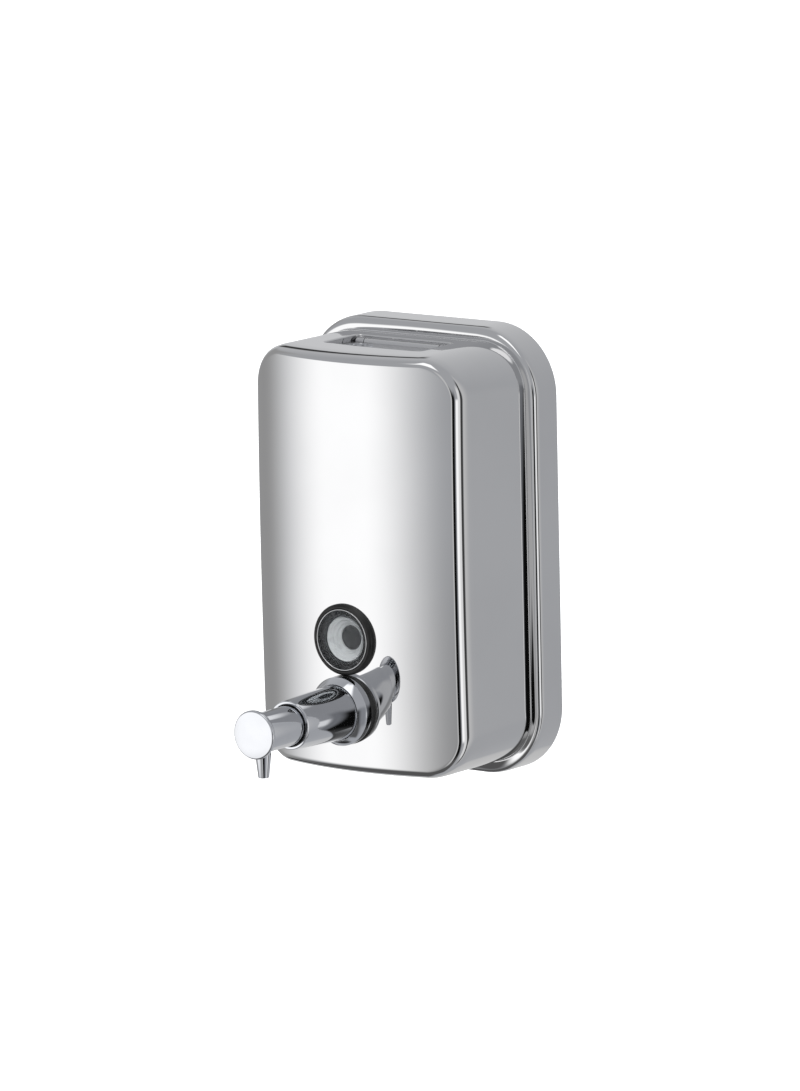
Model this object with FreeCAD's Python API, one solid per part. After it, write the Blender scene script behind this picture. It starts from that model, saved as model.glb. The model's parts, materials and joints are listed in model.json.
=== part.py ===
import FreeCAD, Part
import math
import os

# Wall mounted soap dispenser: a drawn stainless tank that hangs on a wall bracket, with a
# hinged filler lid, a round sight glass and a push valve with a down-turned spout.
# Frame: X to the right seen from the front, -Y out of the wall, +Z up, millimetres.
# The wall is the plane Y = 0 and the origin is the centre of the four wall screws.
# "Depth" below always means distance out from the wall, so Y = -depth.

SHEET = 0.8                   # tank sheet thickness
WALL_GAP = 0.3                # rear edge of the tank stands this far off the wall

# rim (the flange round the back of the tank)
RIM_WIDTH = 118.5
RIM_HEIGHT = 190.0
RIM_CORNER = 29.0
RIM_DEPTH = 16.3
RIM_EDGE_FILLET = 3.4
RIM_JOIN_FILLET = 1.0

# tank body, tapering from the rim to the front
BODY_REAR_SIZE = (109.0, 177.9, 21.0)     # width, height, corner radius where it meets the rim
BODY_FRONT_SIZE = (105.5, 177.6, 18.1)    # the same at the front side edges
BODY_FRONT_DEPTH = 59.3
FRONT_APEX_DEPTH = 72.3
FRONT_BOW_RADIUS = 132.0                  # bow seen from above
FRONT_CROWN_RADIUS = 3500.0               # slight crown seen from the side
FRONT_EDGE_FILLET = 4.6

# well for the filler lid, pressed into the top of the tank
WELL_HALF_WIDTH = 25.0
WELL_REAR_DEPTH = 24.8
WELL_FRONT_DEPTH = 50.2
WELL_FLOOR_Z = 83.9
WELL_CORNER = 2.5
FILLER_HALF_WIDTH = 20.5
FILLER_REAR_DEPTH = 31.5
FILLER_FRONT_DEPTH = 46.0
FILLER_CORNER = 3.0

# lid, its hinge and its lock
LID_GASKET_THICK = 1.1
LID_GASKET_MARGIN = 0.6
LID_GASKET_WIDTH = 2.0
LID_GAP = 0.5
LID_THICK = 1.0
LID_Z = WELL_FLOOR_Z + LID_GASKET_THICK + 0.05
HINGE_DEPTH = 27.0
HINGE_Z = 86.0
HINGE_PIN_R = 0.9
KNUCKLE_R = 1.9
KNUCKLE_BORE_R = 0.95
LID_KNUCKLE_HALF = 19.3
EAR_INNER_X = 19.6
EAR_OUTER_X = 23.6
LOCK_X = -14.4
LOCK_DEPTH = 38.7
LOCK_PLUG_R = 3.9
LOCK_SLEEVE_R = 4.8
LOCK_BEZEL_R = 6.4
LOCK_FIT = 0.05
LOCK_NUT_R = 5.9
LOCK_SLEEVE_FOOT_Z = 83.0
LOCK_BEZEL_TOP_Z = 86.7
KEY_HOLE_R = 0.7
KEY_HOLE_OFFSET = 1.9
KEY_HOLE_SINK = 2.2
CAM_THICK = 1.2
CAM_WIDTH = 5.0
CAM_REACH = 9.3
CAM_SCREW_R = 1.0

# valve axis and sight glass axis, both on the centre line of the front
VALVE_Z = -61.3
SIGHT_Z = -31.5
SEAL_FRONT_DEPTH = 73.3       # front face of both outside gaskets

# sight glass
SIGHT_RING_R = 15.1
SIGHT_LIP_DEPTH = 74.0
LENS_FLANGE_R = 12.8
LENS_FLANGE_REAR = 72.8
LENS_FRONT_DEPTH = 74.3
LENS_STEM_R = 10.0
LENS_STEM_REAR = 58.5
LENS_BORE_R = 7.4
LENS_BORE_FLOOR = 71.6
SIGHT_HOLE_R = 10.3
SIGHT_NUT_FLATS = 26.0
SIGHT_NUT_REAR = 62.0
SIGHT_NUT_FRONT = 68.0
THREAD_PITCH = 1.5
THREAD_SINK = 0.55

# valve body
COLLAR_R = 14.5
COLLAR_FRONT = 80.2
COLLAR_CHAMFER = 1.9
BARREL_R_REAR = 11.8
BARREL_R_FRONT = 10.3
BARREL_FRONT = 111.6
BARREL_LIP = 0.9
BARREL_BORE_R = 9.6
TAIL_R = 11.0
TAIL_REAR = 56.0
VALVE_HOLE_R = 11.3
VALVE_NUT_FLATS = 30.0
VALVE_NUT_REAR = 61.0
VALVE_NUT_FRONT = 68.0
BUSH_REAR = 90.3
BUSH_FRONT = 109.4
PRESS_GAP = 0.05
RUN_GAP = 0.06

# pump inside the tank
CYLINDER_R = 10.2
CYLINDER_BORE_R = 8.6
CYLINDER_REAR = 20.0
CYLINDER_FLOOR = 22.0
CYLINDER_FRONT = 62.0
CAP_REAR = 59.0
CAP_FRONT = 63.5
INLET_DEPTH = 27.0
SPIGOT_R = 4.0
SPIGOT_BORE_R = 1.8
SPIGOT_FOOT_Z = -75.2
INLET_R = 5.4
INLET_TOP_Z = -72.0
INLET_SEAT_Z = -81.0
INLET_FOOT_Z = -83.0
INLET_CHAMBER_R = 2.8
INLET_SEAT_R = 1.6
INLET_BALL_R = 2.4
BALL_GAP = 0.05
STRAINER_R = 6.2
STRAINER_TOP_Z = -80.0
STRAINER_FOOT_Z = -86.4
STRAINER_SLOTS = 8
STRAINER_SLOT_WIDTH = 1.4

# plunger, which slides 13 mm into the barrel
PLUNGER_R = 8.4
PLUNGER_BORE_R = 7.6
PLUNGER_REAR = 90.0
PLUNGER_FRONT = 133.8
STOP_RING_R = 9.2
STOP_RING_REAR = 88.4
CORE_REAR = 112.0
CORE_FRONT = 132.6
BUTTON_R = 10.3
BUTTON_FRONT = 135.8
BUTTON_DOME = 0.5
BUTTON_EDGE = 0.4
SPOUT_DEPTH = 129.0
SPOUT_R_TOP = 3.4
SPOUT_R_TIP = 2.3
SPOUT_BORE_R = 1.3
SPOUT_TIP_Z = -80.2
SPOUT_TOP_Z = -64.5
SPOUT_TAPER_Z = -70.5
ROD_R = 4.0
ROD_BORE_R = 1.5
ROD_FRONT = 118.0
ROD_REAR = 47.5
PISTON_R = 8.1
PISTON_REAR = 40.0
PISTON_FRONT = 50.0
PISTON_GROOVE = (43.6, 46.4)
SEAL_FLOOR_R = 6.9
OUTLET_CHAMBER_R = 2.3
OUTLET_SEAT_R = 1.2
OUTLET_BALL_R = 1.9
OUTLET_SEAT_DEPTH = 42.0
SPRING_R = 6.4
SPRING_WIRE_R = 0.55
SPRING_WIRE_SIDES = 8
SPRING_PITCH = 3.6
SPRING_REAR = 63.6

# back of the tank and wall bracket
BACK_GAP = 0.05
BACK_PLATE_DEPTH = 6.4
BACK_LIP = 3.6
HANGER_HALF_WIDTH = 24.0
HANGER_THICK = 1.0
HANGER_REAR = 1.65
HANGER_FOOT_Z = 21.25
HANGER_STEP_Z = 51.0
HANGER_TOP_Z = 63.0
BRACKET_THICK = 1.5
BRACKET_HALF_WIDTH = 38.0
BRACKET_LOW_Z = -40.0
BRACKET_HIGH_Z = 42.0
BRACKET_CORNER = 6.0
SCREW_X = 30.0
SCREW_Z = 28.0
SCREW_HOLE_R = 2.5
HOOK_INNER_X = 9.0
HOOK_OUTER_X = 21.0
HOOK_SHELF_Z = 20.0
HOOK_THICK = 1.2
HOOK_FRONT = 4.0
HOOK_TIP_Z = 34.0
HOOK_WINDOW_Z = 37.0

WALL_NORMAL = FreeCAD.Vector(0, 1, 0)
UP = FreeCAD.Vector(0, 0, 1)
RIGHT = FreeCAD.Vector(1, 0, 0)
OUT = FreeCAD.Vector(0, -1, 0)


def point(x, depth, z):
    return FreeCAD.Vector(x, -depth, z)


def turned(z, stations):
    """Solid turned about a line parallel to Y; stations are (depth, radius) round the section."""
    outline = [point(radius, depth, z) for depth, radius in stations]
    outline.append(outline[0])
    face = Part.Face(Part.makePolygon(outline))
    return face.revolve(point(0, 0, z), WALL_NORMAL, 360)


def ring(z, rear, front, outer, inner):
    return turned(z, [(rear, inner), (front, inner), (front, outer), (rear, outer)])


def rod(z, rear, front, radius):
    return Part.makeCylinder(radius, front - rear, point(0, rear, z), OUT)


def post(x, depth, low_z, high_z, radius):
    return Part.makeCylinder(radius, high_z - low_z, point(x, depth, low_z), UP)


def block(low_x, high_x, rear, front, low_z, high_z):
    corner = point(low_x, front, low_z)
    return Part.makeBox(high_x - low_x, front - rear, high_z - low_z, corner)


def rounded_outline(width, height, corner, depth):
    """Closed wire of a rounded rectangle that lies parallel to the wall."""
    half_w = width / 2
    half_h = height / 2
    edges = []
    quarter = math.pi / 2
    centres = [(half_w - corner, half_h - corner), (corner - half_w, half_h - corner),
               (corner - half_w, corner - half_h), (half_w - corner, corner - half_h)]
    for index, (centre_x, centre_z) in enumerate(centres):
        start, middle, end = [
            point(centre_x + corner * math.cos(quarter * (index + part)), depth,
                  centre_z + corner * math.sin(quarter * (index + part)))
            for part in (0, 0.5, 1)]
        if edges:
            edges.append(Part.makeLine(edges[-1].lastVertex().Point, start))
        edges.append(Part.Arc(start, middle, end).toShape())
    edges.append(Part.makeLine(edges[-1].lastVertex().Point, edges[0].firstVertex().Point))
    return Part.Wire(edges)


def rounded_prism(width, height, corner, rear, front):
    face = Part.Face(rounded_outline(width, height, corner, rear))
    return face.extrude(OUT * (front - rear))


def rounded_pocket(half_width, rear, front, corner, low_z, high_z):
    """Upright box with rounded upright edges, for the lid well and everything in it."""
    solid = block(-half_width, half_width, rear, front, low_z, high_z)
    upright = [edge for edge in solid.Edges if abs(edge.tangentAt(edge.FirstParameter).z) > 0.9]
    return solid.makeFillet(corner, upright)


def hexagon(z, rear, front, across_flats, bore):
    """Hexagonal nut with its flats at top and bottom, chamfered on both faces."""
    corner_r = across_flats / math.sqrt(3)
    corners = [point(corner_r * math.cos(math.radians(60 * i)), rear,
                     z + corner_r * math.sin(math.radians(60 * i))) for i in range(7)]
    nut = Part.Face(Part.makePolygon(corners)).extrude(OUT * (front - rear))
    chamfer = (corner_r - across_flats / 2) * 0.6
    limits = turned(z, [(rear, 0), (rear, across_flats / 2), (rear + chamfer, corner_r + 0.1),
                        (front - chamfer, corner_r + 0.1), (front, across_flats / 2), (front, 0)])
    return nut.common(limits).cut(rod(z, rear, front, bore))


def threaded(rear, front, crest_r):
    """Stations of a screw thread drawn as round ridges, from rear to front."""
    stations = []
    turns = int((front - rear) / THREAD_PITCH)
    for turn in range(turns):
        start = rear + turn * THREAD_PITCH
        stations.append((start, crest_r - THREAD_SINK))
        stations.append((start + THREAD_PITCH * 0.4, crest_r))
        stations.append((start + THREAD_PITCH * 0.6, crest_r))
    stations.append((rear + turns * THREAD_PITCH, crest_r - THREAD_SINK))
    return stations


def body_size(depth, inset):
    """Width, height and corner radius of the tapering body at one depth."""
    share = (depth - RIM_DEPTH) / (BODY_FRONT_DEPTH - RIM_DEPTH)
    width, height, corner = [
        rear + (front - rear) * share for rear, front in zip(BODY_REAR_SIZE, BODY_FRONT_SIZE)]
    return width - 2 * inset, height - 2 * inset, corner - inset


def bowed_front(inset):
    """Large solid whose front face is the bowed and slightly crowned front of the tank."""
    apex = FRONT_APEX_DEPTH - inset
    radius = FRONT_BOW_RADIUS - inset
    reach = RIM_WIDTH * 0.58
    side_depth = apex - radius + math.sqrt(radius ** 2 - reach ** 2)
    left = point(-reach, side_depth, 0)
    right = point(reach, side_depth, 0)
    behind = -20.0
    edges = [Part.Arc(left, point(0, apex, 0), right).toShape(),
             Part.makeLine(right, point(reach, behind, 0)),
             Part.makeLine(point(reach, behind, 0), point(-reach, behind, 0)),
             Part.makeLine(point(-reach, behind, 0), left)]
    face = Part.Face(Part.Wire(edges))
    crown_centre = point(0, apex - FRONT_CROWN_RADIUS + inset, 0)
    half_turn = math.degrees(RIM_HEIGHT * 0.75 / FRONT_CROWN_RADIUS)
    face.rotate(crown_centre, RIGHT, -half_turn)
    return face.revolve(crown_centre, RIGHT, 2 * half_turn)


def drawn_form(inset, rear):
    """The outside form of the tank, or with an inset the form of its inside."""
    rim = rounded_prism(RIM_WIDTH - 2 * inset, RIM_HEIGHT - 2 * inset, RIM_CORNER - inset,
                        rear, RIM_DEPTH - inset)
    loft_rear = RIM_DEPTH / 2
    loft_front = FRONT_APEX_DEPTH + 10
    sections = [rounded_outline(*body_size(depth, inset), depth) for depth in (loft_rear, loft_front)]
    body = Part.makeLoft(sections, True, True).common(bowed_front(inset))
    front_edges = [edge for edge in body.Edges if edge.CenterOfMass.y < -(BODY_FRONT_DEPTH - 8)
                   and edge.BoundBox.YMax < -(BODY_FRONT_DEPTH - 8)]
    body = body.makeFillet(FRONT_EDGE_FILLET - inset, front_edges)
    form = rim.fuse(body).removeSplitter()
    plane_y = -(RIM_DEPTH - inset)
    on_plane = [edge for edge in form.Edges
                if abs(edge.BoundBox.YMin - plane_y) < 0.01 and abs(edge.BoundBox.YMax - plane_y) < 0.01]
    half_rim = RIM_WIDTH / 2 - inset
    half_rim_z = RIM_HEIGHT / 2 - inset
    outer = []
    inner = []
    for edge in on_plane:
        middle = edge.valueAt((edge.FirstParameter + edge.LastParameter) / 2)
        corner_reach = math.hypot(max(abs(middle.x) - half_rim + RIM_CORNER - inset, 0),
                                  max(abs(middle.z) - half_rim_z + RIM_CORNER - inset, 0))
        on_rim = corner_reach > RIM_CORNER - inset - 0.5
        (outer if on_rim else inner).append(edge)
    form = form.makeFillet(RIM_EDGE_FILLET - inset, outer)
    inner = [edge for edge in form.Edges
             if abs(edge.BoundBox.YMin - plane_y) < 0.01 and abs(edge.BoundBox.YMax - plane_y) < 0.01
             and any(edge.CenterOfMass.distanceToPoint(old.CenterOfMass) < 0.01 for old in inner)]
    return form.makeFillet(RIM_JOIN_FILLET + inset, inner)


def coil(z, rear, front, mean_r, wire_r, pitch):
    """Compression spring about a line parallel to Y; its wire is drawn with flat sides."""
    height = front - rear - 2 * wire_r
    helix = Part.makeHelix(pitch, height, mean_r)
    angles = [2 * math.pi * side / SPRING_WIRE_SIDES for side in range(SPRING_WIRE_SIDES + 1)]
    corners = [FreeCAD.Vector(mean_r + wire_r * math.cos(angle), 0, wire_r * math.sin(angle))
               for angle in angles]
    section = Part.Wire(Part.makePolygon(corners).Edges)
    spring = Part.Wire(helix.Edges).makePipeShell([section], True, True)
    spring.rotate(FreeCAD.Vector(0, 0, 0), RIGHT, 90)
    spring.translate(point(0, rear + wire_r, z))
    return spring


OUTER_FORM = drawn_form(0.0, WALL_GAP)
INNER_FORM = drawn_form(SHEET, WALL_GAP - 5)


def tank_shell():
    pocket = rounded_pocket(WELL_HALF_WIDTH, WELL_REAR_DEPTH, WELL_FRONT_DEPTH, WELL_CORNER,
                            WELL_FLOOR_Z, RIM_HEIGHT)
    pocket_back = rounded_pocket(WELL_HALF_WIDTH + SHEET, WELL_REAR_DEPTH - SHEET,
                                 WELL_FRONT_DEPTH + SHEET, WELL_CORNER + SHEET,
                                 WELL_FLOOR_Z - SHEET, RIM_HEIGHT)
    filler = rounded_pocket(FILLER_HALF_WIDTH, FILLER_REAR_DEPTH, FILLER_FRONT_DEPTH, FILLER_CORNER,
                            WELL_FLOOR_Z - 5, WELL_FLOOR_Z + 5)
    shell = OUTER_FORM.cut(pocket).cut(INNER_FORM.cut(pocket_back))
    shell = shell.cut(filler)
    shell = shell.cut(rod(VALVE_Z, BODY_FRONT_DEPTH, COLLAR_FRONT, VALVE_HOLE_R))
    return shell.cut(rod(SIGHT_Z, BODY_FRONT_DEPTH, COLLAR_FRONT, SIGHT_HOLE_R))


def back_plate():
    margin = SHEET + BACK_GAP
    width = RIM_WIDTH - 2 * margin
    height = RIM_HEIGHT - 2 * margin
    corner = RIM_CORNER - margin
    rear = BACK_PLATE_DEPTH - BACK_LIP
    pan = rounded_prism(width, height, corner, rear, BACK_PLATE_DEPTH)
    hollow = rounded_prism(width - 2 * SHEET, height - 2 * SHEET, corner - SHEET,
                           rear, BACK_PLATE_DEPTH - SHEET)
    return pan.cut(hollow)


def extruded_strip(outline, low_x, high_x):
    """Bent strip: a section of (depth, z) points carried along X."""
    corners = [point(low_x, depth, z) for depth, z in outline]
    corners.append(corners[0])
    return Part.Face(Part.makePolygon(corners)).extrude(RIGHT * (high_x - low_x))


def hanger_plate():
    front = BACK_PLATE_DEPTH - SHEET
    outline = [(HANGER_REAR, HANGER_FOOT_Z), (HANGER_REAR + HANGER_THICK, HANGER_FOOT_Z),
               (HANGER_REAR + HANGER_THICK, HANGER_STEP_Z), (front, HANGER_STEP_Z),
               (front, HANGER_TOP_Z), (front - HANGER_THICK, HANGER_TOP_Z),
               (front - HANGER_THICK, HANGER_STEP_Z + HANGER_THICK),
               (HANGER_REAR, HANGER_STEP_Z + HANGER_THICK)]
    return extruded_strip(outline, -HANGER_HALF_WIDTH, HANGER_HALF_WIDTH)


def wall_bracket():
    middle_z = (BRACKET_LOW_Z + BRACKET_HIGH_Z) / 2
    plate = rounded_prism(2 * BRACKET_HALF_WIDTH, BRACKET_HIGH_Z - BRACKET_LOW_Z, BRACKET_CORNER,
                          0, BRACKET_THICK)
    plate.translate(UP * middle_z)
    hook = [(0, HOOK_SHELF_Z), (HOOK_FRONT, HOOK_SHELF_Z), (HOOK_FRONT, HOOK_TIP_Z),
            (HOOK_FRONT - HOOK_THICK, HOOK_TIP_Z), (HOOK_FRONT - HOOK_THICK, HOOK_SHELF_Z + HOOK_THICK),
            (0, HOOK_SHELF_Z + HOOK_THICK)]
    for side in (-1, 1):
        low_x, high_x = sorted((side * HOOK_INNER_X, side * HOOK_OUTER_X))
        plate = plate.cut(block(low_x, high_x, 0, BRACKET_THICK, HOOK_SHELF_Z, HOOK_WINDOW_Z))
        plate = plate.fuse(extruded_strip(hook, low_x, high_x))
        for screw_z in (-SCREW_Z, SCREW_Z):
            hole = rod(screw_z, 0, BRACKET_THICK, SCREW_HOLE_R)
            hole.translate(RIGHT * side * SCREW_X)
            plate = plate.cut(hole)
    return plate.removeSplitter()


def lid_gasket():
    inner_half = FILLER_HALF_WIDTH + LID_GASKET_MARGIN
    rear = FILLER_REAR_DEPTH - LID_GASKET_MARGIN
    front = FILLER_FRONT_DEPTH + LID_GASKET_MARGIN
    top = WELL_FLOOR_Z + LID_GASKET_THICK
    outer = rounded_pocket(inner_half + LID_GASKET_WIDTH, rear - LID_GASKET_WIDTH + 0.4,
                           front + LID_GASKET_WIDTH, FILLER_CORNER, WELL_FLOOR_Z, top)
    return outer.cut(rounded_pocket(inner_half, rear, front, FILLER_CORNER - 1, WELL_FLOOR_Z, top))


def filler_lid():
    plate = rounded_pocket(WELL_HALF_WIDTH - LID_GAP, HINGE_DEPTH + KNUCKLE_R + 0.5,
                           WELL_FRONT_DEPTH - LID_GAP, WELL_CORNER - LID_GAP, LID_Z, LID_Z + LID_THICK)
    tongue = block(-LID_KNUCKLE_HALF, LID_KNUCKLE_HALF, HINGE_DEPTH, HINGE_DEPTH + KNUCKLE_R + 3,
                   LID_Z, LID_Z + LID_THICK)
    start = point(-LID_KNUCKLE_HALF, HINGE_DEPTH, HINGE_Z)
    length = 2 * LID_KNUCKLE_HALF
    lid = plate.fuse([tongue, Part.makeCylinder(KNUCKLE_R, length, start, RIGHT)])
    lid = lid.cut(Part.makeCylinder(KNUCKLE_BORE_R, length, start, RIGHT))
    lid = lid.cut(post(LOCK_X, LOCK_DEPTH, LID_Z - 1, LID_Z + 2, LOCK_SLEEVE_R + PRESS_GAP))
    return lid.removeSplitter()


def hinge_ears():
    ears = []
    for side in (-1, 1):
        low_x, high_x = sorted((side * EAR_INNER_X, side * EAR_OUTER_X))
        start = point(low_x, HINGE_DEPTH, HINGE_Z)
        length = high_x - low_x
        foot = block(low_x, high_x, HINGE_DEPTH - KNUCKLE_R, HINGE_DEPTH + KNUCKLE_R,
                     WELL_FLOOR_Z, HINGE_Z)
        ear = foot.fuse(Part.makeCylinder(KNUCKLE_R, length, start, RIGHT))
        ears.append(ear.cut(Part.makeCylinder(HINGE_PIN_R, length, start, RIGHT)).removeSplitter())
    return Part.makeCompound(ears)


def hinge_pin():
    start = point(-EAR_OUTER_X - 0.3, HINGE_DEPTH, HINGE_Z)
    return Part.makeCylinder(HINGE_PIN_R, 2 * EAR_OUTER_X + 0.6, start, RIGHT)


def upright_turned(x, depth, stations):
    """Solid turned about an upright line; stations are (radius, z) round the section."""
    outline = [FreeCAD.Vector(x + radius, -depth, z) for radius, z in stations]
    outline.append(outline[0])
    face = Part.Face(Part.makePolygon(outline))
    return face.revolve(point(x, depth, 0), UP, 360)


def lock_housing():
    inner = LOCK_PLUG_R + LOCK_FIT
    top = LID_Z + LID_THICK
    return upright_turned(LOCK_X, LOCK_DEPTH, [
        (inner, LOCK_SLEEVE_FOOT_Z), (LOCK_SLEEVE_R, LOCK_SLEEVE_FOOT_Z), (LOCK_SLEEVE_R, top),
        (LOCK_BEZEL_R, top), (LOCK_BEZEL_R - 0.4, LOCK_BEZEL_TOP_Z), (inner, LOCK_BEZEL_TOP_Z)])


def lock_ring_nut():
    nut = post(LOCK_X, LOCK_DEPTH, LOCK_SLEEVE_FOOT_Z + 0.6, LID_Z, LOCK_NUT_R)
    nut = nut.cut(post(LOCK_X, LOCK_DEPTH, LOCK_SLEEVE_FOOT_Z, LID_Z, LOCK_SLEEVE_R))
    slot = block(LOCK_X - LOCK_NUT_R, LOCK_X + LOCK_NUT_R, LOCK_DEPTH - 0.7, LOCK_DEPTH + 0.7,
                 LOCK_SLEEVE_FOOT_Z, LOCK_SLEEVE_FOOT_Z + 1.2)
    return nut.cut(slot)


def lock_plug():
    foot = LOCK_SLEEVE_FOOT_Z - 0.1
    top = LOCK_BEZEL_TOP_Z - 0.15
    plug = post(LOCK_X, LOCK_DEPTH, foot, top, LOCK_PLUG_R)
    for side in (-1, 1):
        plug = plug.cut(post(LOCK_X + side * KEY_HOLE_OFFSET, LOCK_DEPTH, top - KEY_HOLE_SINK,
                             top + 1, KEY_HOLE_R))
    return plug.cut(post(LOCK_X, LOCK_DEPTH, foot, foot + 1.2, CAM_SCREW_R))


def lock_cam():
    top = LOCK_SLEEVE_FOOT_Z - 0.1
    foot = top - CAM_THICK
    hub = post(LOCK_X, LOCK_DEPTH, foot, top, CAM_WIDTH / 2 + 0.6)
    blade = block(LOCK_X, LOCK_X + CAM_REACH - CAM_WIDTH / 2, LOCK_DEPTH - CAM_WIDTH / 2,
                  LOCK_DEPTH + CAM_WIDTH / 2, foot, top)
    nose = post(LOCK_X + CAM_REACH - CAM_WIDTH / 2, LOCK_DEPTH, foot, top, CAM_WIDTH / 2)
    cam = hub.fuse([blade, nose]).removeSplitter()
    return cam.cut(post(LOCK_X, LOCK_DEPTH, foot, top, CAM_SCREW_R))


def cam_screw():
    cam_foot = LOCK_SLEEVE_FOOT_Z - 0.1 - CAM_THICK
    shank = post(LOCK_X, LOCK_DEPTH, cam_foot, cam_foot + CAM_THICK + 1.1, CAM_SCREW_R)
    head = post(LOCK_X, LOCK_DEPTH, cam_foot - 0.8, cam_foot, CAM_SCREW_R * 2)
    slot = block(LOCK_X - 3, LOCK_X + 3, LOCK_DEPTH - 0.2, LOCK_DEPTH + 0.2,
                 cam_foot - 0.8, cam_foot - 0.4)
    return head.fuse(shank).cut(slot).removeSplitter()


def sight_gasket():
    lip_inner = LENS_FLANGE_R + PRESS_GAP
    form = turned(SIGHT_Z, [
        (BODY_FRONT_DEPTH + 5, SIGHT_HOLE_R), (LENS_FLANGE_REAR, SIGHT_HOLE_R),
        (LENS_FLANGE_REAR, lip_inner), (SIGHT_LIP_DEPTH, lip_inner + 0.3),
        (SIGHT_LIP_DEPTH, SIGHT_RING_R - 0.7), (SIGHT_LIP_DEPTH - 0.7, SIGHT_RING_R),
        (BODY_FRONT_DEPTH + 5, SIGHT_RING_R)])
    return form.cut(OUTER_FORM)


def sight_lens():
    stations = threaded(LENS_STEM_REAR, LENS_FLANGE_REAR - 2.0, LENS_STEM_R)
    stations += [(LENS_FLANGE_REAR, LENS_STEM_R - THREAD_SINK), (LENS_FLANGE_REAR, LENS_FLANGE_R),
                 (LENS_FRONT_DEPTH - 0.6, LENS_FLANGE_R), (LENS_FRONT_DEPTH, LENS_FLANGE_R - 0.8),
                 (LENS_FRONT_DEPTH + 0.4, 0), (LENS_BORE_FLOOR, 0), (LENS_BORE_FLOOR, LENS_BORE_R),
                 (LENS_STEM_REAR, LENS_BORE_R)]
    return turned(SIGHT_Z, stations)


def inside_washer(z, rear, outer, inner):
    """Washer whose front face follows the inside of the bowed front."""
    return ring(z, rear, SEAL_FRONT_DEPTH, outer, inner).common(INNER_FORM)


def valve_gasket():
    outer = ring(VALVE_Z, BODY_FRONT_DEPTH + 5, SEAL_FRONT_DEPTH, COLLAR_R + 0.1, TAIL_R + PRESS_GAP)
    return outer.cut(OUTER_FORM)


def valve_collar():
    return turned(VALVE_Z, [
        (SEAL_FRONT_DEPTH, TAIL_R + PRESS_GAP), (SEAL_FRONT_DEPTH, COLLAR_R),
        (COLLAR_FRONT - COLLAR_CHAMFER, COLLAR_R), (COLLAR_FRONT, COLLAR_R - COLLAR_CHAMFER),
        (COLLAR_FRONT, TAIL_R + PRESS_GAP)])


def valve_barrel():
    stations = [(TAIL_REAR, BARREL_BORE_R)]
    stations += threaded(TAIL_REAR, COLLAR_FRONT - 1.0, TAIL_R)
    stations += [(COLLAR_FRONT, TAIL_R - THREAD_SINK), (COLLAR_FRONT, BARREL_R_REAR),
                 (BARREL_FRONT - BARREL_LIP, BARREL_R_FRONT + 0.1),
                 (BARREL_FRONT - 0.3, BARREL_R_FRONT - 0.1), (BARREL_FRONT, BARREL_R_FRONT - 0.35),
                 (BARREL_FRONT, BARREL_BORE_R)]
    return turned(VALVE_Z, stations)


def guide_bush():
    return ring(VALVE_Z, BUSH_REAR, BUSH_FRONT, BARREL_BORE_R - PRESS_GAP, PLUNGER_R + RUN_GAP)


def pump_cylinder():
    tube = turned(VALVE_Z, [
        (CYLINDER_REAR, 0), (CYLINDER_REAR, CYLINDER_R), (TAIL_REAR, CYLINDER_R),
        (TAIL_REAR, BARREL_BORE_R - PRESS_GAP), (CYLINDER_FRONT, BARREL_BORE_R - PRESS_GAP),
        (CYLINDER_FRONT, CYLINDER_BORE_R), (CYLINDER_FLOOR, CYLINDER_BORE_R), (CYLINDER_FLOOR, 0)])
    spigot = post(0, INLET_DEPTH, SPIGOT_FOOT_Z, VALVE_Z - CYLINDER_BORE_R - 0.5, SPIGOT_R)
    passage = post(0, INLET_DEPTH, SPIGOT_FOOT_Z, VALVE_Z, SPIGOT_BORE_R)
    bore = rod(VALVE_Z, CYLINDER_FLOOR, CYLINDER_FRONT, CYLINDER_BORE_R)
    return tube.fuse(spigot).cut([passage, bore]).removeSplitter()


def cylinder_cap():
    return turned(VALVE_Z, [
        (CAP_REAR, ROD_R + RUN_GAP), (CAP_REAR, CYLINDER_BORE_R - PRESS_GAP),
        (CYLINDER_FRONT, CYLINDER_BORE_R - PRESS_GAP), (CYLINDER_FRONT, BARREL_BORE_R - PRESS_GAP),
        (CAP_FRONT, BARREL_BORE_R - PRESS_GAP), (CAP_FRONT, ROD_R + RUN_GAP)])


def inlet_housing():
    return upright_turned(0, INLET_DEPTH, [
        (INLET_SEAT_R, INLET_FOOT_Z), (INLET_R, INLET_FOOT_Z), (INLET_R, INLET_TOP_Z),
        (SPIGOT_R, INLET_TOP_Z), (SPIGOT_R, SPIGOT_FOOT_Z), (INLET_CHAMBER_R, SPIGOT_FOOT_Z),
        (INLET_CHAMBER_R, INLET_SEAT_Z), (INLET_SEAT_R, INLET_SEAT_Z)])


def inlet_ball():
    drop = math.sqrt(INLET_BALL_R ** 2 - INLET_SEAT_R ** 2)
    return Part.makeSphere(INLET_BALL_R, point(0, INLET_DEPTH, INLET_SEAT_Z + drop + BALL_GAP))


def strainer():
    cup = upright_turned(0, INLET_DEPTH, [
        (0, STRAINER_FOOT_Z), (STRAINER_R, STRAINER_FOOT_Z), (STRAINER_R, STRAINER_TOP_Z),
        (INLET_R, STRAINER_TOP_Z), (INLET_R, INLET_FOOT_Z), (STRAINER_R - SHEET, INLET_FOOT_Z),
        (STRAINER_R - SHEET, STRAINER_FOOT_Z + SHEET), (0, STRAINER_FOOT_Z + SHEET)])
    centre = point(0, INLET_DEPTH, 0)
    for index in range(STRAINER_SLOTS):
        slot = block(STRAINER_R - 2 * SHEET, STRAINER_R + SHEET,
                     INLET_DEPTH - STRAINER_SLOT_WIDTH / 2, INLET_DEPTH + STRAINER_SLOT_WIDTH / 2,
                     STRAINER_FOOT_Z + SHEET, INLET_FOOT_Z - 0.4)
        slot.rotate(centre, UP, 360 * index / STRAINER_SLOTS)
        cup = cup.cut(slot)
    return cup


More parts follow.
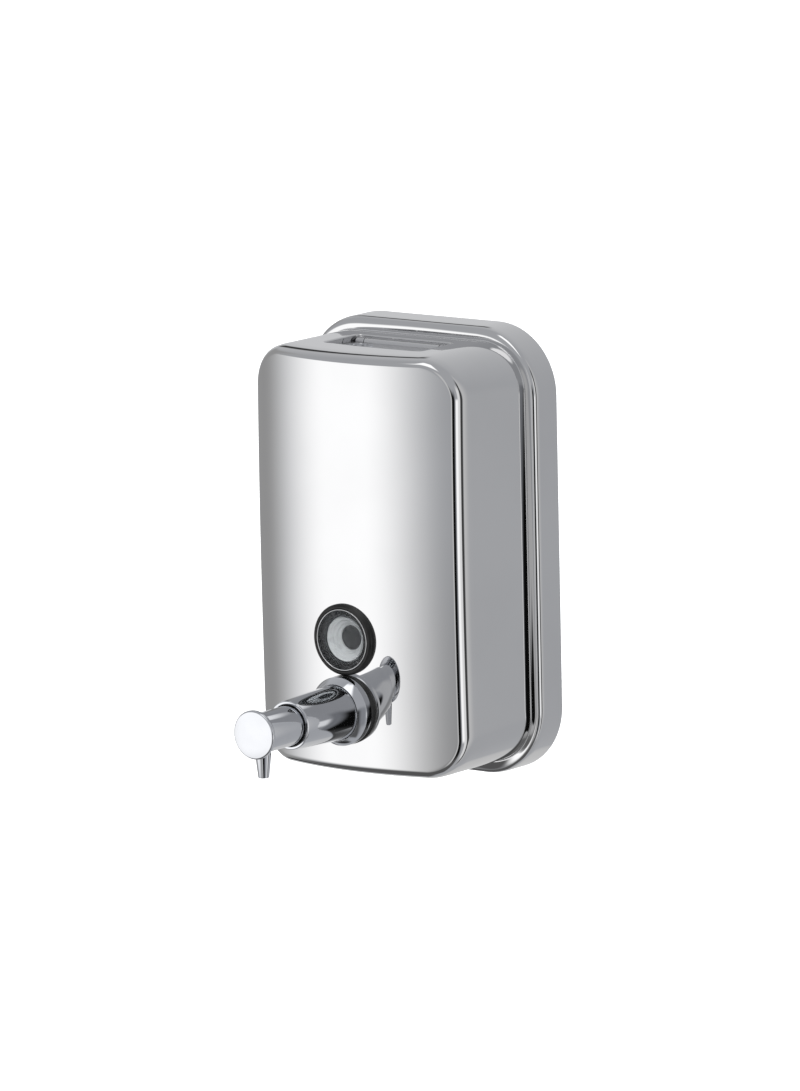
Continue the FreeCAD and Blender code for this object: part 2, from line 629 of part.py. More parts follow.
def plunger_sleeve():
    sleeve = ring(VALVE_Z, PLUNGER_REAR, PLUNGER_FRONT, PLUNGER_R, PLUNGER_BORE_R)
    return sleeve.cut(post(0, SPOUT_DEPTH, VALVE_Z - 2 * PLUNGER_R, VALVE_Z, SPOUT_R_TOP))


def stop_ring():
    return ring(VALVE_Z, STOP_RING_REAR, PLUNGER_REAR, STOP_RING_R, ROD_R + 2)


def plunger_core():
    core = turned(VALVE_Z, [
        (CORE_REAR, ROD_R), (CORE_REAR, PLUNGER_BORE_R), (CORE_FRONT, PLUNGER_BORE_R),
        (CORE_FRONT, 0), (SPOUT_DEPTH, 0), (SPOUT_DEPTH, ROD_BORE_R), (ROD_FRONT, ROD_BORE_R),
        (ROD_FRONT, ROD_R)])
    core = core.cut(post(0, SPOUT_DEPTH, VALVE_Z - 2 * PLUNGER_R, SPOUT_TOP_Z, SPOUT_R_TOP))
    return core.cut(post(0, SPOUT_DEPTH, SPOUT_TOP_Z, VALVE_Z, SPOUT_BORE_R))


def push_button():
    dome_r = (BUTTON_R ** 2 + BUTTON_DOME ** 2) / (2 * BUTTON_DOME)
    edge_depth = BUTTON_FRONT - BUTTON_DOME
    disc = rod(VALVE_Z, PLUNGER_FRONT, BUTTON_FRONT, BUTTON_R)
    disc = disc.common(Part.makeSphere(dome_r, point(0, BUTTON_FRONT - dome_r, VALVE_Z)))
    rims = [edge for edge in disc.Edges if abs(edge.BoundBox.XMax - BUTTON_R) < 0.01
            and edge.BoundBox.YMax - edge.BoundBox.YMin < 0.01 and edge.CenterOfMass.y < 0.5 - edge_depth]
    disc = disc.makeFillet(BUTTON_EDGE, rims)
    return disc.fuse(rod(VALVE_Z, CORE_FRONT, PLUNGER_FRONT, PLUNGER_BORE_R - PRESS_GAP))


def spout():
    return upright_turned(0, SPOUT_DEPTH, [
        (SPOUT_BORE_R, SPOUT_TIP_Z), (SPOUT_R_TIP, SPOUT_TIP_Z), (SPOUT_R_TOP, SPOUT_TAPER_Z),
        (SPOUT_R_TOP, SPOUT_TOP_Z), (SPOUT_BORE_R, SPOUT_TOP_Z)])


def piston_rod():
    return ring(VALVE_Z, ROD_REAR, ROD_FRONT, ROD_R, ROD_BORE_R)


def piston():
    groove_rear, groove_front = PISTON_GROOVE
    return turned(VALVE_Z, [
        (PISTON_REAR, OUTLET_SEAT_R), (PISTON_REAR, PISTON_R), (groove_rear, PISTON_R),
        (groove_rear, SEAL_FLOOR_R), (groove_front, SEAL_FLOOR_R), (groove_front, PISTON_R),
        (PISTON_FRONT, PISTON_R), (PISTON_FRONT, ROD_R), (ROD_REAR, ROD_R),
        (ROD_REAR, OUTLET_CHAMBER_R), (OUTLET_SEAT_DEPTH, OUTLET_CHAMBER_R),
        (OUTLET_SEAT_DEPTH, OUTLET_SEAT_R)])


def piston_seal():
    groove_rear, groove_front = PISTON_GROOVE
    return ring(VALVE_Z, groove_rear + 0.1, groove_front - 0.1,
                CYLINDER_BORE_R - RUN_GAP, SEAL_FLOOR_R)


def outlet_ball():
    rise = math.sqrt(OUTLET_BALL_R ** 2 - OUTLET_SEAT_R ** 2)
    return Part.makeSphere(OUTLET_BALL_R, point(0, OUTLET_SEAT_DEPTH + rise + BALL_GAP, VALVE_Z))


NODES = {
    "wall_bracket": wall_bracket(),
    "hanger_plate": hanger_plate(),
    "back_plate": back_plate(),
    "tank_shell": tank_shell(),
    "hinge_ears": hinge_ears(),
    "hinge_pin": hinge_pin(),
    "filler_lid": filler_lid(),
    "lid_gasket": lid_gasket(),
    "lock_housing": lock_housing(),
    "lock_ring_nut": lock_ring_nut(),
    "lock_plug": lock_plug(),
    "lock_cam": lock_cam(),
    "cam_screw": cam_screw(),
    "sight_gasket": sight_gasket(),
    "sight_lens": sight_lens(),
    "sight_washer": inside_washer(SIGHT_Z, SIGHT_NUT_FRONT, SIGHT_NUT_FLATS / 2, LENS_STEM_R + PRESS_GAP),
    "sight_nut": hexagon(SIGHT_Z, SIGHT_NUT_REAR, SIGHT_NUT_FRONT, SIGHT_NUT_FLATS, LENS_STEM_R),
    "valve_gasket": valve_gasket(),
    "valve_collar": valve_collar(),
    "valve_barrel": valve_barrel(),
    "valve_washer": inside_washer(VALVE_Z, VALVE_NUT_FRONT, VALVE_NUT_FLATS / 2, TAIL_R + PRESS_GAP),
    "valve_nut": hexagon(VALVE_Z, VALVE_NUT_REAR, VALVE_NUT_FRONT, VALVE_NUT_FLATS, TAIL_R),
    "guide_bush": guide_bush(),
    "pump_cylinder": pump_cylinder(),
    "cylinder_cap": cylinder_cap(),
    "inlet_housing": inlet_housing(),
    "inlet_ball": inlet_ball(),
    "strainer": strainer(),
    "return_spring": coil(VALVE_Z, SPRING_REAR, STOP_RING_REAR - 0.1, SPRING_R, SPRING_WIRE_R,
                          SPRING_PITCH),
    "stop_ring": stop_ring(),
    "plunger_sleeve": plunger_sleeve(),
    "plunger_core": plunger_core(),
    "push_button": push_button(),
    "spout": spout(),
    "piston_rod": piston_rod(),
    "piston": piston(),
    "piston_seal": piston_seal(),
    "outlet_ball": outlet_ball(),
}

os.makedirs("parts", exist_ok=True)
for name, shape in NODES.items():
    shape.exportStep("parts/" + name + ".step")
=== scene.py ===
import json
import math

import bmesh
import bpy
import numpy as np
from mathutils import Matrix, Vector


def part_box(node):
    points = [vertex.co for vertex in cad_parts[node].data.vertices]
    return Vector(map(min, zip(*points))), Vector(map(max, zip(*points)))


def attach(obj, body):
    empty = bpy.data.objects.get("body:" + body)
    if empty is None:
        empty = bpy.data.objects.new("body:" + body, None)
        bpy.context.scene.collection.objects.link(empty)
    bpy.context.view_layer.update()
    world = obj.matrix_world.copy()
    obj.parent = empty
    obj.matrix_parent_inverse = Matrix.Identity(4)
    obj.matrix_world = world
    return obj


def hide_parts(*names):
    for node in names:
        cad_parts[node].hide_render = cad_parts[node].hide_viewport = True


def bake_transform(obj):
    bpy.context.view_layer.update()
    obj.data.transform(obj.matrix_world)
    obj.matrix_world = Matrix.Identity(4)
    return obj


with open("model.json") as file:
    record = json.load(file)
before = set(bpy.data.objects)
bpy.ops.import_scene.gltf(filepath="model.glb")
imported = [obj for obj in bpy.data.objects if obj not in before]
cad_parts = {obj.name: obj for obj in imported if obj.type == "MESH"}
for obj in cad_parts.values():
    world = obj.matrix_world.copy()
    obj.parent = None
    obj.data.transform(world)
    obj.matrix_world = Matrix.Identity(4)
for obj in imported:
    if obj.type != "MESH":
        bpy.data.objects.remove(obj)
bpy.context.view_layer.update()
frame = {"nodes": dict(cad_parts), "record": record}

# Looks of a wall mounted soap dispenser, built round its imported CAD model.
# Working units are millimetres in (x, depth, z), where depth is the distance out from the wall;
# they become metres in the row frame, with Y = -depth, when a mesh is made.

MM = 0.001


class Extent:
    """Where a CAD node lies, in millimetres. Its radius is for a node turned about a level axis."""

    def __init__(self, node):
        low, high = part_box(node)
        self.half_width = high[0] / MM
        self.rear = -high[1] / MM
        self.front = -low[1] / MM
        self.bottom = low[2] / MM
        self.top = high[2] / MM
        self.radius = (self.top - self.bottom) / 2
        self.middle = (self.top + self.bottom) / 2


# ---- sizes of the tank shell

TANK = Extent("tank_shell")
SHEET = 0.8

# outlines as (width, height, corner radius): the rim, and the body at its two ends
RIM = (2 * TANK.half_width, TANK.top - TANK.bottom, 29.0)
BODY_REAR = (109.0, 177.9, 21.0)
BODY_FRONT = (105.5, 177.6, 18.1)
RIM_DEPTH = 16.3
BODY_FRONT_DEPTH = 59.3

# the front bows across and is slightly crowned from top to bottom
BOW_R = 132.0
CROWN_R = 3500.0
# front edge, from the side wall: arcs as (radius, degrees turned), then the last one up to the front
EDGE_EASING = ((30.0, 8.0), (6.5, 22.0))
EDGE_R = 3.8
# first guess at where the edge's arcs meet the front, which is then corrected a few times
FIRST_EDGE_DROP = 12.0
FIRST_EDGE_SHARE = (0.85, 0.9)
EDGE_FIT_TIMES = 24

# rim front, from its outer side: arcs as (radius, from, to) in degrees from straight ahead
RIM_ARCS = ((20.0, 90.0, 84.0), (5.0, 84.0, 74.0), (1.8, 74.0, 50.0), (1.9, 50.0, 28.0), (2.2, 28.0, 12.0))
RIM_ARC_CUT_DEG = 6.0
RIM_ARC_LEAST_CUTS = 3
RIM_TILT_DEG = RIM_ARCS[-1][2]
RIM_DROP = 0.15
RIM_SIDE_SHARES = (0.0, 0.04, 0.35, 0.7)
# the flange's tilt beside the body, high on the sides, and how it shifts lower down, on top and below
FLANGE_END_DEG = 5.0
FLANGE_LOW_DEG = -8.0
FLANGE_LOW_POWER = 1.5
FLANGE_TOP_DEG = -7.0
FLANGE_TOP_POWER = 2
FLANGE_UNDER_DEG = 22.0
FLANGE_UNDER_POWER = 7
# how fast the flange takes up that tilt, at the top and at the bottom
FLANGE_BEND = (1.1, 5.0)
FLANGE_CUTS = 8
# where the flange meets the body it rolls in, then turns along the wall
ROLL_R = 0.25
ROLL_DEG = -15.0
GROOVE_R = 0.4
GROOVE_CUTS = 8
FLANGE_FIT_TIMES = 5

# how finely the shell is cut
TOP_CUTS = 44
SIDE_CUTS = 88
CORNER_CUTS = 20
BODY_RINGS = 14
EDGE_CUTS = (4, 6, 12)

# lid well in the top, round the lid and its hinge ears
LID_GAP = 0.5
EAR_GAP = 0.3
LID = Extent("filler_lid")
EARS = Extent("hinge_ears")
WELL_HALF = LID.half_width + LID_GAP
WELL_REAR = EARS.rear - EAR_GAP
WELL_FRONT = LID.front + LID_GAP
WELL_FLOOR_Z = EARS.bottom
WELL_CORNER = 2.5
WELL_LIP_R = 0.7
WELL_FOOT_R = 0.6
WELL_ROUND_CUTS = 5
WELL_CORNER_CUTS = 3
# the rows and columns of the body that the well takes the place of
WELL_ROWS = (2, 12)
WELL_COLUMNS = (2, 42)
WELL_ACROSS = WELL_COLUMNS[1] - WELL_COLUMNS[0]
WELL_DOWN = WELL_ROWS[1] - WELL_ROWS[0]
# loops between the skin's grid and the well's lip, as shares of the way
WELL_BRIDGE_SHARES = (0.34, 0.67)
LEAST_CORNER = 0.01
# filler opening in the well's floor: half width, rear and front depth, corner radius
FILLER = (20.5, 31.5, 46.0, 3.0)

VALVE_Z = Extent("valve_collar").middle
SIGHT_Z = Extent("sight_lens").middle
BARREL_THREAD_R = 11.0
LENS_THREAD_R = 10.0
HOLE_GAP = 0.3
# depths that the cutter of a hole reaches, behind and in front of the front sheet
CUTTER_DEPTHS = (60.0, 80.0)

# how finely turned pieces are cut, and the edges that stay sharp in smooth shading
TURNED_SEGMENTS = 128
LONG_TUBE_SEGMENTS = 224
HOLE_SEGMENTS = 96
SPOUT_SEGMENTS = 64
ROUND_CUTS = 5
THREADED_ROUND_CUTS = 4
SHARP_DEG = 35.0
ROUND_WIRE_SHARP_DEG = 60.0
# points closer than this, in metres, are one point
SAME_POINT = 1e-7


# ---- mesh helpers

def to_frame(points):
    """(x, depth, z) in millimetres to the row frame in metres."""
    points = np.asarray(points, float)
    return np.stack([points[:, 0], -points[:, 1], points[:, 2]], axis=1) * MM


def make_object(name, points, faces, sharp_deg=SHARP_DEG):
    """Object from millimetre points, with outward normals and smooth shading."""
    mesh = bpy.data.meshes.new(name)
    mesh.from_pydata(to_frame(points).tolist(), [], [tuple(int(i) for i in face) for face in faces])
    work = bmesh.new()
    work.from_mesh(mesh)
    bmesh.ops.remove_doubles(work, verts=work.verts, dist=SAME_POINT)
    bmesh.ops.recalc_face_normals(work, faces=work.faces)
    work.to_mesh(mesh)
    work.free()
    mesh.validate()
    shade_smooth(mesh, sharp_deg)
    piece = bpy.data.objects.new(name, mesh)
    bpy.context.scene.collection.objects.link(piece)
    return piece


def shade_smooth(mesh, sharp_deg):
    """Smooth shading, except over edges sharper than the angle."""
    for polygon in mesh.polygons:
        polygon.use_smooth = True
    mesh.set_sharp_from_angle(angle=math.radians(sharp_deg))


def grid_faces(first, rows, columns, skip=None):
    """Quads between closed rows of points stored one row after another."""
    faces = []
    for row in range(rows - 1):
        for column in range(columns):
            if skip and skip(row, column):
                continue
            after = (column + 1) % columns
            low = first + row * columns
            high = low + columns
            faces.append((low + column, low + after, high + after, high + column))
    return faces


FLAT_CORNER_DEG = 89.0
MOST_OF_HALF_SIDE = 0.49


def rounded_profile(corners, cuts):
    """Closed outline of (a, b, radius) corners with each corner rounded to its radius."""
    outline = []
    count = len(corners)
    for index, (a, b, radius) in enumerate(corners):
        here = np.array([a, b], float)
        before = np.array(corners[index - 1][:2], float) - here
        after = np.array(corners[(index + 1) % count][:2], float) - here
        before_len = np.linalg.norm(before)
        after_len = np.linalg.norm(after)
        before = before / before_len
        after = after / after_len
        half = math.acos(max(-1.0, min(1.0, float(before @ after)))) / 2
        if radius <= 0 or half > math.radians(FLAT_CORNER_DEG):
            outline.append(tuple(here))
            continue
        reach = min(radius / math.tan(half), before_len * MOST_OF_HALF_SIDE, after_len * MOST_OF_HALF_SIDE)
        radius = reach * math.tan(half)
        middle = before + after
        middle = middle / np.linalg.norm(middle)
        centre = here + middle * radius / math.sin(half)
        start = here + before * reach - centre
        end = here + after * reach - centre
        sweep = math.acos(max(-1.0, min(1.0, float(start @ end) / radius ** 2)))
        for step in range(cuts + 1):
            share = step / cuts
            mix = (math.sin((1 - share) * sweep) * start + math.sin(share * sweep) * end) / math.sin(sweep)
            outline.append(tuple(centre + mix))
    return outline


def lathe(name, corners, place, segments=TURNED_SEGMENTS, cuts=ROUND_CUTS, sharp_deg=SHARP_DEG):
    """Turned piece from (along, radius, rounding) corners, carried round by place()."""
    outline = rounded_profile(corners, cuts)
    points = []
    for along, radius in outline:
        for step in range(segments):
            angle = 2 * math.pi * step / segments
            points.append(place(along, radius * math.cos(angle), radius * math.sin(angle)))
    faces = grid_faces(0, len(outline), segments)
    last = (len(outline) - 1) * segments
    for step in range(segments):
        after = (step + 1) % segments
        faces.append((last + step, last + after, after, step))
    return make_object(name, points, faces, sharp_deg)


def tube(rear, front, inside, outside, roundings=(0, 0, 0, 0)):
    """Corners of a plain tube, or of a disc if its inside radius is 0, out at the rear and back in front."""
    places = ((rear, inside), (rear, outside), (front, outside), (front, inside))
    return [(*place, rounding) for place, rounding in zip(places, roundings)]


def about_valve(along, across, up):
    return across, along, VALVE_Z + up


def about_sight(along, across, up):
    return across, along, SIGHT_Z + up


THREAD_PITCH = 1.5
THREAD_ROUND = 0.08
THREAD_CREST_SHARES = (0.38, 0.62)


def threads(rear, front, crest, root):
    """Corners of thread ridges from rear to front, as (depth, radius, rounding)."""
    corners = []
    ridges = int((front - rear) / THREAD_PITCH)
    for ridge in range(ridges):
        start = rear + ridge * THREAD_PITCH
        corners.append((start, root, THREAD_ROUND))
        for share in THREAD_CREST_SHARES:
            corners.append((start + share * THREAD_PITCH, crest, THREAD_ROUND))
    corners.append((rear + ridges * THREAD_PITCH, root, 0))
    return corners


# ---- materials

EVEN = (1.0, 1.0, 1.0)
# noise lies about the middle of 0 to 1, so ramps and ranges spread over this part of it
COLOR_SPREAD = (0.35, 0.65)
FULL_SPREAD = (0.0, 1.0)
ROUGH_SPREAD = (0.3, 0.7)
NOISE_DETAIL = 3.0
GRAIN_SCALE = 400.0
SKIN_NOISE_SCALE = 90.0
SKIN_BUMP_SCALE = 900.0
SPANGLE_SCALE = 220.0
SPANGLE_ROUGH_SCALE = 150.0
PLASTIC_IOR = 1.49


def make_node(tree, kind, inputs=None, **settings):
    """Shader node with its settings, and its inputs set to values or linked to sockets."""
    node = tree.nodes.new("ShaderNode" + kind)
    for name, value in settings.items():
        setattr(node, name, value)
    for name, value in (inputs or {}).items():
        if isinstance(value, bpy.types.NodeSocket):
            tree.links.new(value, node.inputs[name])
        else:
            node.inputs[name].default_value = value
    return node


class Surface:
    """Material with one principled shader, whose inputs are varied by procedural textures."""

    def __init__(self, name, **inputs):
        self.material = bpy.data.materials.new(name)
        self.material.use_nodes = True
        self.tree = self.material.node_tree
        self.tree.nodes.clear()
        self.shader = make_node(self.tree, "BsdfPrincipled", inputs)
        make_node(self.tree, "OutputMaterial", {"Surface": self.shader.outputs["BSDF"]})

    def set(self, name, socket):
        self.tree.links.new(socket, self.shader.inputs[name])

    def noise(self, scale, stretch=EVEN):
        """Noise in object coordinates, which are the row frame in metres."""
        place = make_node(self.tree, "TexCoord").outputs["Object"]
        mapping = make_node(self.tree, "Mapping", {"Vector": place, "Scale": stretch})
        noise = make_node(self.tree, "TexNoise", {"Vector": mapping.outputs["Vector"], "Scale": scale,
                                                  "Detail": NOISE_DETAIL})
        return noise.outputs["Fac"]

    def vary_color(self, factor, dark, light, spread=COLOR_SPREAD):
        ramp = make_node(self.tree, "ValToRGB", {"Fac": factor})
        for element, position, color in zip(ramp.color_ramp.elements, spread, (dark, light)):
            element.position = position
            element.color = (*color, 1.0)
        self.set("Base Color", ramp.outputs["Color"])

    def vary_roughness(self, factor, low, high):
        least, most = ROUGH_SPREAD
        spread = make_node(self.tree, "MapRange", {"Value": factor, "From Min": least, "From Max": most,
                                                   "To Min": low, "To Max": high})
        self.set("Roughness", spread.outputs["Result"])

    def bump(self, height, distance):
        bump = make_node(self.tree, "Bump", {"Height": height, "Strength": 1.0, "Distance": distance})
        self.set("Normal", bump.outputs["Normal"])


def metal(name, dark, light, rough, scale=60.0, stretch=EVEN, grain=0.0):
    """Bare metal. A grain is the height of brushed lines along the stretched direction."""
    surface = Surface(name, Metallic=1.0)
    noise = surface.noise(scale, stretch)
    surface.vary_color(noise, dark, light)
    surface.vary_roughness(noise, *rough)
    if grain:
        surface.bump(surface.noise(GRAIN_SCALE, stretch), grain)
    return surface.material


def plastic(name, dark, light, rough, bump=0.00004, clear=0.0, alpha=1.0, specular=0.5):
    """Moulded plastic or rubber with a fine skin."""
    surface = Surface(name, **{"IOR": PLASTIC_IOR, "Specular IOR Level": specular, "Alpha": alpha,
                               "Transmission Weight": clear})
    noise = surface.noise(SKIN_NOISE_SCALE)
    surface.vary_color(noise, dark, light)
    surface.vary_roughness(noise, *rough)
    if bump:
        surface.bump(surface.noise(SKIN_BUMP_SCALE), bump)
    return surface.material


def spangled(name, dark, light, rough):
    """Zinc-plated steel with its faint crystal pattern."""
    surface = Surface(name, Metallic=1.0)
    place = make_node(surface.tree, "TexCoord").outputs["Object"]
    cells = make_node(surface.tree, "TexVoronoi", {"Vector": place, "Scale": SPANGLE_SCALE})
    surface.vary_color(cells.outputs["Color"], dark, light, FULL_SPREAD)
    surface.vary_roughness(surface.noise(SPANGLE_ROUGH_SCALE), *rough)
    return surface.material


STEEL_TONES = {"dark": (0.655, 0.655, 0.66), "light": (0.675, 0.675, 0.68), "scale": 25.0}
MATERIALS = {
    "polished_steel": metal("polished_steel", rough=(0.012, 0.022), **STEEL_TONES),
    "chrome_brass": metal("chrome_brass", dark=(0.63, 0.64, 0.665), light=(0.66, 0.67, 0.695),
                          rough=(0.03, 0.06), scale=80.0),
    "plain_steel": metal("plain_steel", dark=(0.52, 0.52, 0.53), light=(0.66, 0.66, 0.67),
                         rough=(0.22, 0.36), stretch=(1.0, 1.0, 14.0), grain=0.00001),
    "zinc_steel": spangled("zinc_steel", dark=(0.46, 0.48, 0.50), light=(0.66, 0.68, 0.70),
                           rough=(0.28, 0.42)),
    "black_rubber": plastic("black_rubber", dark=(0.006, 0.006, 0.006), light=(0.014, 0.014, 0.014),
                            rough=(0.22, 0.32), bump=0.00003, specular=0.2),
    "clear_plastic": plastic("clear_plastic", dark=(0.05, 0.055, 0.06), light=(0.08, 0.085, 0.09),
                             rough=(0.02, 0.05), bump=0.0, alpha=0.2),
    "white_plastic": plastic("white_plastic", dark=(0.72, 0.72, 0.70), light=(0.80, 0.80, 0.78),
                             rough=(0.34, 0.46)),
    "milky_plastic": plastic("milky_plastic", dark=(0.70, 0.73, 0.74), light=(0.80, 0.83, 0.84),
                             rough=(0.24, 0.36), clear=0.15),
    "spring_steel": metal("spring_steel", dark=(0.50, 0.50, 0.52), light=(0.62, 0.62, 0.64),
                          rough=(0.16, 0.28)),
    "ball_steel": metal("ball_steel", dark=(0.68, 0.69, 0.71), light=(0.76, 0.77, 0.79),
                        rough=(0.04, 0.09)),
}
# the lid is the tank's steel, but dulled by hands and soap
LID_STEEL = metal("lid_steel", rough=(0.20, 0.26), **STEEL_TONES)


def dress(piece, slot, body, *nodes):
    """Give a piece its material, the body it rides on, if only one, and the CAD nodes it stands for."""
    piece.data.materials.clear()
    piece.data.materials.append(MATERIALS[slot])
    if body:
        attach(piece, body)
    if nodes:
        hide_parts(*nodes)


# ---- tank shell

def perimeter():
    """Where each column of the shell lies on a rounded rectangle: (cx, cz, normal angle)."""
    quarter = math.pi / 2
    columns = []
    for side in range(4):
        cuts = TOP_CUTS if side % 2 == 0 else SIDE_CUTS
        normal = quarter * (1 - side)
        for step in range(cuts):
            run = 1 - 2 * step / cuts
            cx, cz = ((-run, 1), (1, run), (run, -1), (-1, -run))[side]
            columns.append((cx, cz, normal))
        corner = ((1, 1), (1, -1), (-1, -1), (-1, 1))[side]
        for step in range(CORNER_CUTS):
            columns.append((*corner, normal - quarter * step / CORNER_CUTS))
    return np.array(columns)


COLUMNS = perimeter()
COLUMN_COUNT = len(COLUMNS)
PLANE_NORMALS = np.stack([np.cos(COLUMNS[:, 2]), np.sin(COLUMNS[:, 2])], axis=1)
OUTWARD = np.stack([PLANE_NORMALS[:, 0], 0 * PLANE_NORMALS[:, 0], PLANE_NORMALS[:, 1]], axis=1)
FORWARD = np.array([[0.0, 1.0, 0.0]])


def outline_points(width, height, corner):
    x = COLUMNS[:, 0] * (width / 2 - corner) + corner * PLANE_NORMALS[:, 0]
    z = COLUMNS[:, 1] * (height / 2 - corner) + corner * PLANE_NORMALS[:, 1]
    return x, z


def body_size(depth):
    """Width, height and corner radius of the body at a depth."""
    share = (depth - RIM_DEPTH) / (BODY_FRONT_DEPTH - RIM_DEPTH)
    return [rear + (front - rear) * share for rear, front in zip(BODY_REAR, BODY_FRONT)]


def top_height(depth):
    return body_size(depth)[1] / 2


def body_points(depth):
    """Points of the body's side wall, one for each column, at a depth for each column."""
    x, z = outline_points(*body_size(depth))
    return np.stack([x, depth + 0 * x, z], axis=1)


def unit(vectors):
    return vectors / np.linalg.norm(vectors, axis=1, keepdims=True)


# how far along the wall its lean is measured
LEAN_STEP = 10.0


def body_normals():
    """Outward normals of the body's slightly leaning side wall."""
    depth = np.full(COLUMN_COUNT, RIM_DEPTH)
    moved = (body_points(depth + LEAN_STEP) - body_points(depth)) / LEAN_STEP
    lean = -(moved[:, 0] * PLANE_NORMALS[:, 0] + moved[:, 2] * PLANE_NORMALS[:, 1])
    return unit(np.stack([PLANE_NORMALS[:, 0], lean, PLANE_NORMALS[:, 1]], axis=1))


SIDES = body_normals()


def front_surface(x, z):
    """Depth and outward normal of the bowed and crowned front."""
    slope = x / BOW_R
    level = np.sqrt(1 - slope ** 2)
    reach = CROWN_R - BOW_R + BOW_R * level
    axis_depth = TANK.front - CROWN_R
    out = np.sqrt(reach ** 2 - z ** 2)
    normal = np.stack([slope, level * out / reach, level * z / reach], axis=-1)
    return axis_depth + out, normal


def turn(start, end, share):
    """Unit vectors a share of the way round from start to end."""
    cosine = np.clip((start * end).sum(1, keepdims=True), -1, 1)
    angle = np.arccos(cosine)
    return (np.sin((1 - share) * angle) * start + np.sin(share * angle) * end) / np.sin(angle)


def facing(deg):
    """Normals turned outward by this many degrees from straight ahead."""
    return np.sin(np.radians(deg)) * OUTWARD + np.cos(np.radians(deg)) * FORWARD


def rim_rings():
    """Rim from its rear edge to the start of the flange: the rows, and the last points."""
    rim_x, rim_z = outline_points(*RIM)
    rise = sum(radius * (math.cos(math.radians(end)) - math.cos(math.radians(start)))
               for radius, start, end in RIM_ARCS)
    arcs_depth = RIM_DEPTH - RIM_DROP - rise
    rings = []
    for share in RIM_SIDE_SHARES:
        depth = TANK.rear + (arcs_depth - TANK.rear) * share
        rings.append((np.stack([rim_x, np.full(COLUMN_COUNT, depth), rim_z], axis=1), OUTWARD))
    here = np.stack([rim_x, np.full(COLUMN_COUNT, arcs_depth), rim_z], axis=1)
    for radius, start, end in RIM_ARCS:
        cuts = max(RIM_ARC_LEAST_CUTS, int(abs(start - end) / RIM_ARC_CUT_DEG))
        centre = here - radius * facing(start)
        for step in range(cuts):
            deg = start + (end - start) * step / cuts
            rings.append((centre + radius * facing(deg), facing(deg)))
        here = centre + radius * facing(end)
    rings.append((here, facing(RIM_TILT_DEG)))
    return rings, here


def flange_tilts(height):
    """The flange's last tilt and how fast it gets there, for each column of the rim."""
    lowness = ((height.max() - height) / (height.max() - height.min()))[:, None]
    upward = PLANE_NORMALS[:, 1:]
    end_tilt = (FLANGE_END_DEG + FLANGE_LOW_DEG * lowness ** FLANGE_LOW_POWER
                + FLANGE_TOP_DEG * upward.clip(0, 1) ** FLANGE_TOP_POWER
                + FLANGE_UNDER_DEG * (-upward).clip(0, 1) ** FLANGE_UNDER_POWER)
    high, low = FLANGE_BEND
    return end_tilt, high + (low - high) * lowness


def flange_rings(start):
    """Gently domed flange from the rim's edge to the body's wall: the rows, and the wall's root depth."""
    end_tilt, bend = flange_tilts(start[:, 2])

    def tilt_at(share):
        return end_tilt + (RIM_TILT_DEG - end_tilt) * (1 - share) ** bend

    slopes = [np.tan(np.radians(tilt_at((step + 0.5) / FLANGE_CUTS)))[:, 0] for step in range(FLANGE_CUTS)]
    climb = np.cumsum(slopes, axis=0) / FLANGE_CUTS
    rolled = facing(ROLL_DEG)
    root_depth = np.full(COLUMN_COUNT, RIM_DEPTH)
    for _ in range(FLANGE_FIT_TIMES):
        groove = body_points(root_depth) + GROOVE_R * SIDES
        roll = groove - (GROOVE_R + ROLL_R) * rolled
        lip = roll + ROLL_R * facing(end_tilt)
        width = np.hypot(start[:, 0] - lip[:, 0], start[:, 2] - lip[:, 2])
        root_depth = root_depth + start[:, 1] + width * climb[-1] - lip[:, 1]
    rings = []
    for step in range(1, FLANGE_CUTS):
        share = step / FLANGE_CUTS
        ring = start + (lip - start) * share
        ring[:, 1] = start[:, 1] + width * climb[step - 1]
        rings.append((ring, facing(tilt_at(share))))
    for step in range(GROOVE_CUTS):
        deg = end_tilt + (ROLL_DEG - end_tilt) * step / GROOVE_CUTS
        rings.append((roll + ROLL_R * facing(deg), facing(deg)))
    for step in range(GROOVE_CUTS):
        normals = turn(rolled, SIDES, step / GROOVE_CUTS)
        rings.append((groove - GROOVE_R * normals, normals))
    return rings, root_depth


def edge_chain(wall, fronts):
    """Arcs (centre, radius, from, to) that carry the side wall round to the front, and their end."""
    toward = unit(fronts - (fronts * SIDES).sum(1, keepdims=True) * SIDES)
    centre = wall
    before = SIDES
    arcs = []
    turned = 0.0
    for radius, degrees in EDGE_EASING:
        turned += math.radians(degrees)
        after = math.cos(turned) * SIDES + math.sin(turned) * toward
        centre = centre - radius * before
        arcs.append((centre, radius, before, after))
        centre = centre + radius * after
        before = after
    arcs.append((centre - EDGE_R * before, EDGE_R, before, fronts))
    return arcs, arcs[-1][0] + EDGE_R * fronts


def edge_arcs():
    """The front edge's arcs, moved along the wall until they end on the front surface."""
    edge_depth = np.full(COLUMN_COUNT, TANK.front - FIRST_EDGE_DROP)
    _, fronts = front_surface(*(rim * share for rim, share in zip(outline_points(*RIM), FIRST_EDGE_SHARE)))
    for _ in range(EDGE_FIT_TIMES):
        arcs, end = edge_chain(body_points(edge_depth), fronts)
        depth, fronts = front_surface(end[:, 0], end[:, 2])
        edge_depth = edge_depth + (depth - end[:, 1])
    return arcs, fronts, edge_depth


